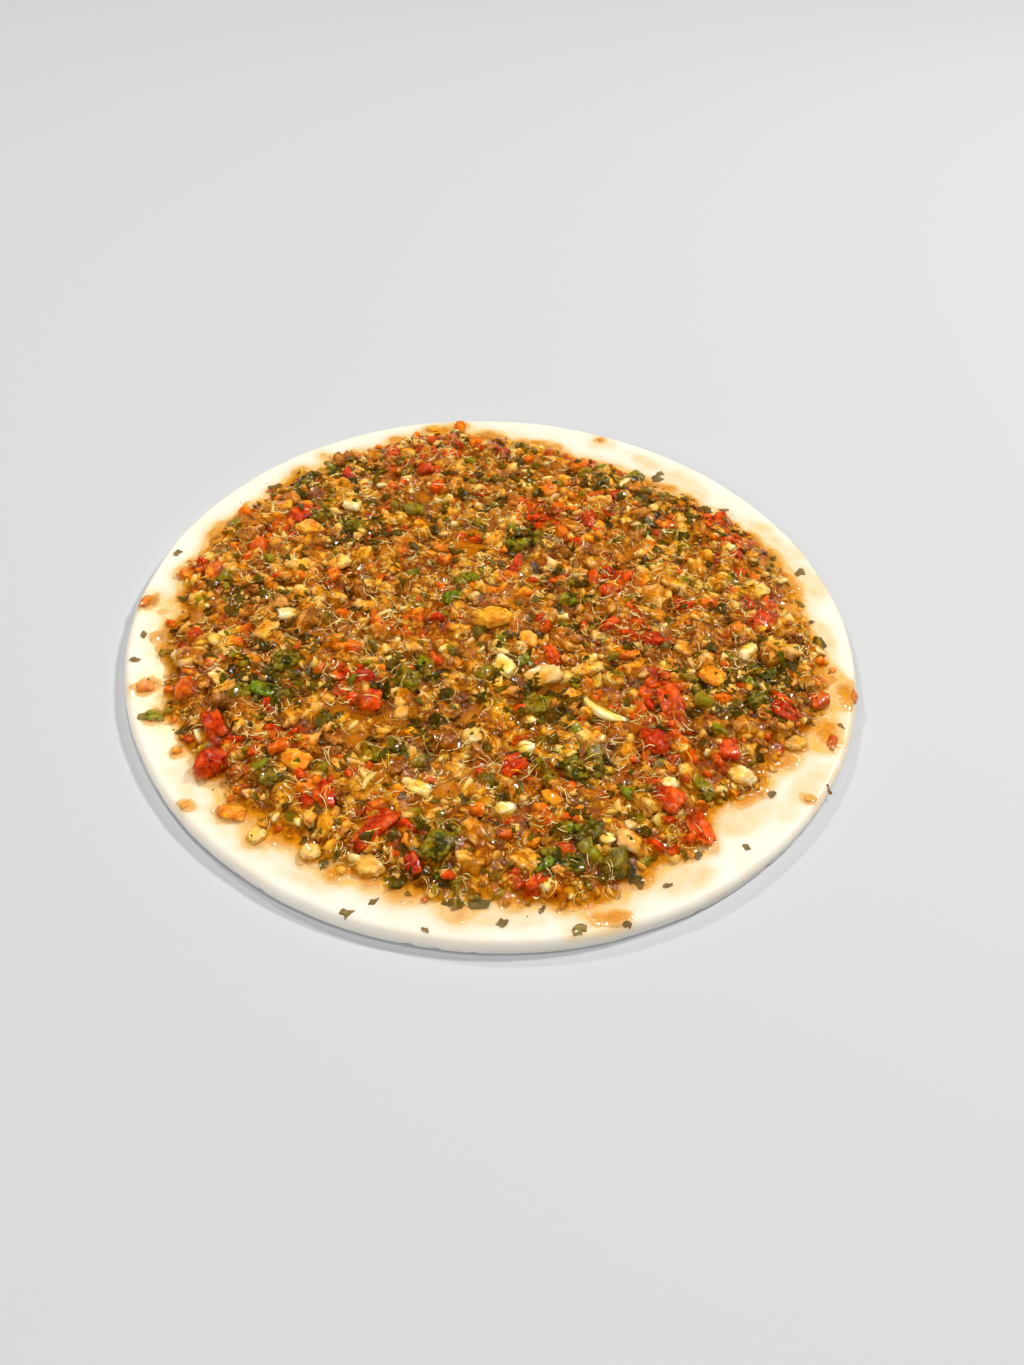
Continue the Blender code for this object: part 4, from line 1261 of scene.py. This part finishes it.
def dough_mesh(settings, spread):
    """The round of dough, spun from its section, slightly uneven, torn a little at the foot, and stained."""
    bm = bmesh.new()
    line = [bm.verts.new((radius, 0.0, height)) for radius, height in dough_profile(settings.foot_round)]
    edges = [bm.edges.new(pair) for pair in zip(line, line[1:])]
    bmesh.ops.spin(
        bm,
        geom=line + edges,
        cent=(0.0, 0.0, 0.0),
        axis=(0.0, 0.0, 1.0),
        angle=math.tau,
        steps=DOUGH_STEPS,
        use_merge=True,
        use_duplicate=False,
    )
    bmesh.ops.remove_doubles(bm, verts=bm.verts, dist=MERGE)
    for vertex in bm.verts:
        outwards = Vector((vertex.co.x, vertex.co.y, 0.0))
        far = outwards.length
        if far < MERGE:
            continue
        outwards /= far
        share = (far / DOUGH_RADIUS) ** 4
        low = max(0.0, 1.0 - vertex.co.z / TEAR_HEIGHT)
        tear = max(0.0, noise.noise(outwards * TEAR_WAVES) - 0.25) * low * TEAR_DEPTH
        sway = RIM_WOBBLE * noise.noise(outwards * RIM_WAVES)
        sway += RIM_RIPPLE * noise.noise(outwards * RIM_RIPPLES)
        up = 0.0
        if vertex.co.z > TOP_FROM:
            up = settings.unevenness * noise.noise(vertex.co / TOP_WAVES)
        vertex.co += outwards * (share * sway - tear)
        vertex.co.z += up
    bmesh.ops.recalc_face_normals(bm, faces=bm.faces)
    mesh = mesh_from(bm, "dough")
    stain_dough(mesh, settings, spread)
    return mesh


def stain_dough(mesh, settings, spread):
    """Tints the dough amber where juice has run into it, close to the spread and under smears."""
    x, y, z = points_of(mesh)
    covered = (spread.level > -0.05 * MM).astype(float)
    wet, wide = spread.blurred(covered, 1.5 * MM), spread.blurred(covered, 3.6 * MM)
    soaked = ease(1.5 * spread.sample(wet, x, y)) + 0.25 * ease(1.6 * spread.sample(wide, x, y))
    wander = 0.5 * drift(x, y, 3.0 * MM, 73)
    for place in in_metres(STAINS):
        far = ellipse(x, y, *place)
        soaked = np.maximum(soaked, 0.65 * ease((1.5 - far + wander) / 1.1))
    blotch = 0.5 + 0.35 * drift(x, y, 3.2 * MM, 71) + 0.35 * drift(x, y, 1.3 * MM, 74)
    faint = 0.08 * ease(drift(x, y, 4.6 * MM, 72) * 1.6)
    upper = ease((z - 0.5 * DOUGH_TOP) / (0.4 * DOUGH_TOP))
    soaked = np.clip((soaked * (0.45 + 0.55 * blotch) + faint) * upper, 0.0, 1.0)
    add_tints(mesh, mixed(settings.colour, settings.stain, soaked))
    add_values(mesh, "soaked", soaked)


def spread_mesh(spread):
    """The juicy paste as one closed body: a grid raised to the juice level, cut at its edge, with a foot."""
    bm = bmesh.new()
    half = spread.line[-1]
    cells = len(spread.line) - 1
    bmesh.ops.create_grid(bm, x_segments=cells, y_segments=cells, size=half)
    kept = spread.level > -CUT_DEPTH
    for vertex in bm.verts:
        row, column = spread.cell(vertex.co.x), spread.cell(vertex.co.y)
        vertex.tag = not kept[row, column]
        drop = float(edge_drop(vertex.co.x, vertex.co.y))
        vertex.co.z = DOUGH_TOP - drop + spread.level[row, column]
    bmesh.ops.delete(bm, geom=[v for v in bm.verts if v.tag], context="VERTS")
    for _ in range(CUT_ROUNDS):
        loose = [v for v in bm.verts if not v.link_faces or sum(e.is_boundary for e in v.link_edges) > 2]
        if not loose:
            break
        bmesh.ops.delete(bm, geom=loose, context="VERTS")
    edge = [e for e in bm.edges if e.is_boundary]
    side = bmesh.ops.extrude_edge_only(bm, edges=edge)["geom"]
    foot = [item for item in side if isinstance(item, bmesh.types.BMEdge)]
    for vertex in {v for e in foot for v in e.verts}:
        vertex.co.z = DOUGH_TOP - spread.SUNK - float(edge_drop(vertex.co.x, vertex.co.y))
    bmesh.ops.holes_fill(bm, edges=foot, sides=0)
    bmesh.ops.recalc_face_normals(bm, faces=bm.faces)
    mesh = mesh_from(bm, "juicy_spread")
    x, y, _ = points_of(mesh)
    add_tints(mesh, spread.sample(spread.tint, x, y))
    shallow = 1.0 - ease(spread.sample(spread.level, x, y) / (1.0 * MM))
    add_values(mesh, "open_juice", np.maximum(spread.sample(spread.pool, x, y), shallow))
    return mesh


def chopped_mesh(kind, power, lumpiness, groove=0.0, **options):
    """All pieces of one chopped kind as one mesh: small ones of few faces, large ones finely shaped."""
    layout = laid_out()
    parts = []
    for form, count, cuts in (
        ("small", SMALL_SHAPES, SMALL_CUTS),
        ("lump", LUMP_SHAPES, LUMP_CUTS),
        ("large", LARGE_SHAPES, LARGE_CUTS),
    ):
        rows = layout.placed.get((kind, form))
        if not rows:
            continue
        dent = groove if form == "large" else 0.0
        grain = 0.9 if form == "lump" else 0.15
        lumpy = 0.55 * lumpiness if form == "large" else lumpiness
        clear = {"shaded": 0.6} if form == "large" else {}
        shapes = [unit_mesh(cuts, power, lumpy, 1 + 11 * n, dent, grain) for n in range(count)]
        parts.append(copies(shapes, rows, layout.spread, layout.settings[kind], **(options | clear)))
    strips = layout.placed.get((kind, "strip"))
    if strips:
        shapes = [unit_mesh(LARGE_CUTS, 2.3, 0.08, 5 + 7 * n) for n in range(STRIP_SHAPES)]
        parts.append(copies(shapes, strips, layout.spread, layout.settings[kind], spotted=0.12, shaded=0.5))
    return mesh_of(kind, *joined(parts))


def scattered_mesh(kind, form, shapes, settings, **options):
    """All thin pieces of one kind as one mesh, draped over the rest."""
    layout = laid_out()
    rows = layout.placed[kind, form]
    return mesh_of(kind, *copies(shapes, rows, layout.spread, settings, layout.spread.draped, **options))


class LAHMACUN_OT_dough(bpy.types.Operator):
    """Rolls out the round of raw dough"""

    bl_idname = "lahmacun.dough"
    bl_label = "Dough"

    def execute(self, context):
        # Raw dough: matt off-white, darker and glossier where juice has soaked in.
        mesh = dough_mesh(context.scene.lahmacun_dough, laid_out().spread)
        add_piece("dough_round", mesh, raw_dough(), "dough")
        return {"FINISHED"}


class LAHMACUN_OT_juicy_spread(bpy.types.Operator):
    """Spreads the juicy minced paste"""

    bl_idname = "lahmacun.juicy_spread"
    bl_label = "Juicy spread"

    def execute(self, context):
        # Wet paste of fat, juice and fine mince: crumbs seen through clear juice that glints where it curves,
        # with painted shade between the crumbs and in hollows among the pieces.
        finish = juicy_paste(context.scene.lahmacun_juice.film)
        add_piece("juicy_spread", spread_mesh(laid_out().spread), finish, "topping")
        return {"FINISHED"}


class Chopped:
    """Scatters one chopped kind. Cut is how its pieces are shaped, and finish how they look."""

    def execute(self, context):
        mesh = chopped_mesh(self.kind, **self.cut)
        add_piece(self.kind, mesh, wet_food(**self.finish), "topping")
        return {"FINISHED"}


class LAHMACUN_OT_mince(Chopped, bpy.types.Operator):
    """Scatters grains of minced meat, single and in clumps"""

    bl_idname = "lahmacun.mince"
    bl_label = "Minced meat"
    kind = "mince"
    cut = dict(power=2.4, lumpiness=0.42, spotted=0.6)
    # Raw mince in juice: short grains, brown to fatty beige, bumpy, under a wet film.
    finish = dict(
        name="wet_minced_meat", grain=0.7, dark=0.75, pale=0.5, relief=0.16, roughness=0.3, glow=0.15,
        glow_depth=0.6,
    )  # fmt: skip


class LAHMACUN_OT_onion(Chopped, bpy.types.Operator):
    """Scatters chopped onion and garlic"""

    bl_idname = "lahmacun.onion"
    bl_label = "Onion"
    kind = "onion"
    cut = dict(power=2.8, lumpiness=0.5, shaded=0.5)
    # Cut onion: pale, half clear, with crisp edges softened by juice.
    finish = dict(
        name="wet_chopped_onion", grain=1.2, dark=0.25, pale=0.2, relief=0.06, roughness=0.22, glow=0.3,
        glow_depth=1.0,
    )  # fmt: skip


class LAHMACUN_OT_tomato(Chopped, bpy.types.Operator):
    """Scatters chopped tomato"""

    bl_idname = "lahmacun.tomato"
    bl_label = "Tomato"
    kind = "tomato"
    cut = dict(power=3.4, lumpiness=0.4, groove=0.05, spotted=0.4)
    # Tomato flesh: soft orange lumps that light shines into.
    finish = dict(
        name="wet_tomato_flesh", grain=0.8, dark=0.6, pale=0.3, relief=0.14, roughness=0.2, glow=0.3,
        glow_depth=1.0,
    )  # fmt: skip


class LAHMACUN_OT_red_pepper(Chopped, bpy.types.Operator):
    """Scatters chopped red pepper"""

    bl_idname = "lahmacun.red_pepper"
    bl_label = "Red pepper"
    kind = "red_pepper"
    cut = dict(power=2.7, lumpiness=0.46, groove=0.22, spotted=0.65)
    # Red pepper: strong red skin and flesh in folded bits, very glossy.
    finish = dict(
        name="wet_red_pepper", grain=0.9, dark=0.8, pale=0.25, relief=0.14, roughness=0.16, glow=0.25,
        glow_depth=0.9,
    )  # fmt: skip


class LAHMACUN_OT_green_pepper(Chopped, bpy.types.Operator):
    """Scatters chopped green pepper"""

    bl_idname = "lahmacun.green_pepper"
    bl_label = "Green pepper"
    kind = "green_pepper"
    cut = dict(power=3.4, lumpiness=0.34)
    # Green pepper: bright skin on a few, olive flesh on the rest, smooth and glossy.
    finish = dict(
        name="wet_green_pepper", grain=0.8, dark=0.8, pale=0.3, relief=0.14, roughness=0.16, glow=0.25,
        glow_depth=0.9,
    )  # fmt: skip


class LAHMACUN_OT_parsley(bpy.types.Operator):
    """Scatters flakes of parsley leaf over the spread and the rim"""

    bl_idname = "lahmacun.parsley"
    bl_label = "Parsley"

    def execute(self, context):
        settings = context.scene.lahmacun_parsley
        shapes = [leaf_unit(LEAF_SEED + n) for n in range(SMALL_SHAPES)]
        mesh = scattered_mesh("parsley", "flake", shapes, settings, soak=(0.05, 0.3), spotted=0.3)
        mesh.shade_flat()
        # Wet parsley: thin dark leaf, creased, with a film of juice that makes it shine.
        finish = wet_food(
            name="wet_parsley_leaf", grain=0.9, dark=0.4, pale=0.15, relief=0.05, roughness=0.2, glow=0.1,
            glow_depth=0.4,
        )  # fmt: skip
        add_piece("parsley", mesh, finish, "topping")
        return {"FINISHED"}


class LAHMACUN_OT_painted_glint_ridges(bpy.types.Operator):
    """Draws up thin ridges of juice round the pieces, coloured pale as painted glints"""

    bl_idname = "lahmacun.ridges"
    bl_label = "Juice ridges"

    def execute(self, context):
        settings = context.scene.lahmacun_ridges
        options = {"soak": (0.0, 0.0), "spotted": 0.3, "shaded": 0.15}
        mesh = scattered_mesh("ridges", "ridge", [string_unit(3, 4)], settings, **options)
        # Clear fatty juice drawn up into thin edges, pale gold to near white as painted glints, very glossy.
        finish = wet_food(
            name="juice_ridge_painted_glints", grain=1.0, dark=0.0, pale=0.0, relief=0.01, roughness=0.1, glow=0.0,
            glow_depth=0.2,
        )  # fmt: skip
        add_piece("painted_glint_juice_ridges", mesh, finish, "topping")
        return {"FINISHED"}


class LAHMACUN_OT_strings(bpy.types.Operator):
    """Lays thin strings of vegetable over the spread"""

    bl_idname = "lahmacun.strings"
    bl_label = "Strings"

    def execute(self, context):
        settings = context.scene.lahmacun_strings
        mesh = scattered_mesh("strings", "string", [string_unit(5, 7)], settings, soak=(0.1, 0.4))
        # Stringy pulp: half clear threads that catch the light.
        finish = wet_food(
            name="wet_pulp_threads", grain=1.0, dark=0.2, pale=0.3, relief=0.02, roughness=0.2, glow=0.2,
            glow_depth=0.4,
        )  # fmt: skip
        add_piece("strings", mesh, finish, "topping")
        return {"FINISHED"}


class LAHMACUN_OT_specks(bpy.types.Operator):
    """Sprinkles specks of ground black pepper"""

    bl_idname = "lahmacun.specks"
    bl_label = "Pepper specks"

    def execute(self, context):
        settings = context.scene.lahmacun_specks
        shapes = [speck_unit(SPECK_SEED + n) for n in range(SMALL_SHAPES)]
        mesh = scattered_mesh("specks", "speck", shapes, settings, soak=(0.0, 0.2), spotted=0.5)
        # Ground black pepper: nearly black broken corns, wet.
        finish = wet_food(
            name="ground_black_pepper", grain=0.5, dark=0.3, pale=0.1, relief=0.03, roughness=0.35, glow=0.0,
            glow_depth=0.2,
        )  # fmt: skip
        add_piece("pepper_specks", mesh, finish, "topping")
        return {"FINISHED"}


# The lights: name, place and size in metres, power in watts, and colour.
LIGHTS = (
    ("key_right_back", (0.62, 0.42, 0.80), (0.11, 0.11), 7.8, (1.0, 0.96, 0.88)),
    ("key_left_back", (-0.50, 0.62, 0.78), (0.09, 0.09), 3.8, (1.0, 0.94, 0.82)),
    ("key_top", (0.15, 0.05, 1.15), (0.09, 0.09), 4.0, (1.0, 0.96, 0.88)),
    ("front_fill", (-0.40, -0.75, 0.62), (0.80, 0.60), 5.6, (1.0, 0.97, 0.92)),
)
FLOOR_HALF, WORLD_STRENGTH, SENSOR = 4.0, 0.04, 36.0


def add_light(name, position, size, power, colour):
    """A rectangular studio light that faces the middle of the lahmacun."""
    light = bpy.data.lights.new(name, "AREA")
    light.shape = "RECTANGLE"
    light.size, light.size_y = size
    light.energy = power
    light.color = colour
    lamp = bpy.data.objects.new(name, light)
    lamp.location = position
    lamp.rotation_euler = (-Vector(position)).to_track_quat("-Z", "Y").to_euler()
    bpy.context.scene.collection.objects.link(lamp)
    return lamp


class LAHMACUN_OT_stage(bpy.types.Operator):
    """Sets the floor, the lights and the camera"""

    bl_idname = "lahmacun.stage"
    bl_label = "Stage"

    def execute(self, context):
        scene = context.scene
        settings = scene.lahmacun_stage
        bm = bmesh.new()
        bmesh.ops.create_grid(bm, x_segments=1, y_segments=1, size=FLOOR_HALF)
        mesh = mesh_from(bm, "floor")
        mesh.materials.append(plain_floor(settings.floor))
        floor = bpy.data.objects.new("floor", mesh)
        scene.collection.objects.link(floor)
        lamps = {light[0]: add_light(*light) for light in LIGHTS}
        # The wide fill would lay a white veil over the juice.
        lamps["front_fill"].visible_glossy = False
        world = bpy.data.worlds.new("studio")
        world.use_nodes = True
        background = world.node_tree.nodes["Background"]
        background.inputs["Color"].default_value = (1.0, 0.99, 0.97, 1.0)
        background.inputs["Strength"].default_value = WORLD_STRENGTH
        scene.world = world
        scene.view_settings.view_transform = "Standard"
        camera = bpy.data.cameras.new("camera")
        camera.sensor_width = SENSOR
        camera.lens = settings.lens
        camera.clip_start = 0.01
        camera_object = bpy.data.objects.new("camera", camera)
        lean_back = Matrix.Rotation(0.5 * math.pi - settings.elevation, 4, "X")
        roll = Matrix.Rotation(settings.roll, 4, "Z")
        camera_object.matrix_world = Matrix.Translation(settings.position) @ lean_back @ roll
        scene.collection.objects.link(camera_object)
        scene.camera = camera_object
        return {"FINISHED"}


class LAHMACUN_PT_panel(bpy.types.Panel):
    """Lists what the lahmacun is made of"""

    bl_label = "Lahmacun"
    bl_idname = "LAHMACUN_PT_panel"
    bl_space_type = "VIEW_3D"
    bl_region_type = "UI"
    bl_category = "Lahmacun"

    def draw(self, context):
        for operator in OPERATORS:
            self.layout.operator(operator.bl_idname)


GROUPS = {
    "lahmacun_dough": LAHMACUN_PG_dough,
    "lahmacun_juice": LAHMACUN_PG_juice,
    "lahmacun_mince": LAHMACUN_PG_mince,
    "lahmacun_onion": LAHMACUN_PG_onion,
    "lahmacun_red_pepper": LAHMACUN_PG_red_pepper,
    "lahmacun_tomato": LAHMACUN_PG_tomato,
    "lahmacun_green_pepper": LAHMACUN_PG_green_pepper,
    "lahmacun_parsley": LAHMACUN_PG_parsley,
    "lahmacun_strings": LAHMACUN_PG_strings,
    "lahmacun_specks": LAHMACUN_PG_specks,
    "lahmacun_ridges": LAHMACUN_PG_painted_glint_ridges,
    "lahmacun_stage": LAHMACUN_PG_stage,
}
OPERATORS = (
    LAHMACUN_OT_stage,
    LAHMACUN_OT_dough,
    LAHMACUN_OT_juicy_spread,
    LAHMACUN_OT_mince,
    LAHMACUN_OT_onion,
    LAHMACUN_OT_tomato,
    LAHMACUN_OT_red_pepper,
    LAHMACUN_OT_green_pepper,
    LAHMACUN_OT_parsley,
    LAHMACUN_OT_painted_glint_ridges,
    LAHMACUN_OT_strings,
    LAHMACUN_OT_specks,
)


def register():
    for name, group in GROUPS.items():
        bpy.utils.register_class(group)
        setattr(bpy.types.Scene, name, bpy.props.PointerProperty(type=group))
    for operator in OPERATORS:
        bpy.utils.register_class(operator)
    bpy.utils.register_class(LAHMACUN_PT_panel)


def unregister():
    bpy.utils.unregister_class(LAHMACUN_PT_panel)
    for operator in reversed(OPERATORS):
        bpy.utils.unregister_class(operator)
    for name, group in reversed(GROUPS.items()):
        delattr(bpy.types.Scene, name)
        bpy.utils.unregister_class(group)


def main():
    register()
    bpy.ops.lahmacun.stage()
    bpy.ops.lahmacun.dough()
    bpy.ops.lahmacun.juicy_spread()
    bpy.ops.lahmacun.mince()
    bpy.ops.lahmacun.onion()
    bpy.ops.lahmacun.tomato()
    bpy.ops.lahmacun.red_pepper()
    bpy.ops.lahmacun.green_pepper()
    bpy.ops.lahmacun.parsley()
    bpy.ops.lahmacun.ridges()
    bpy.ops.lahmacun.strings()
    bpy.ops.lahmacun.specks()


if __name__ == "__main__":
    main()
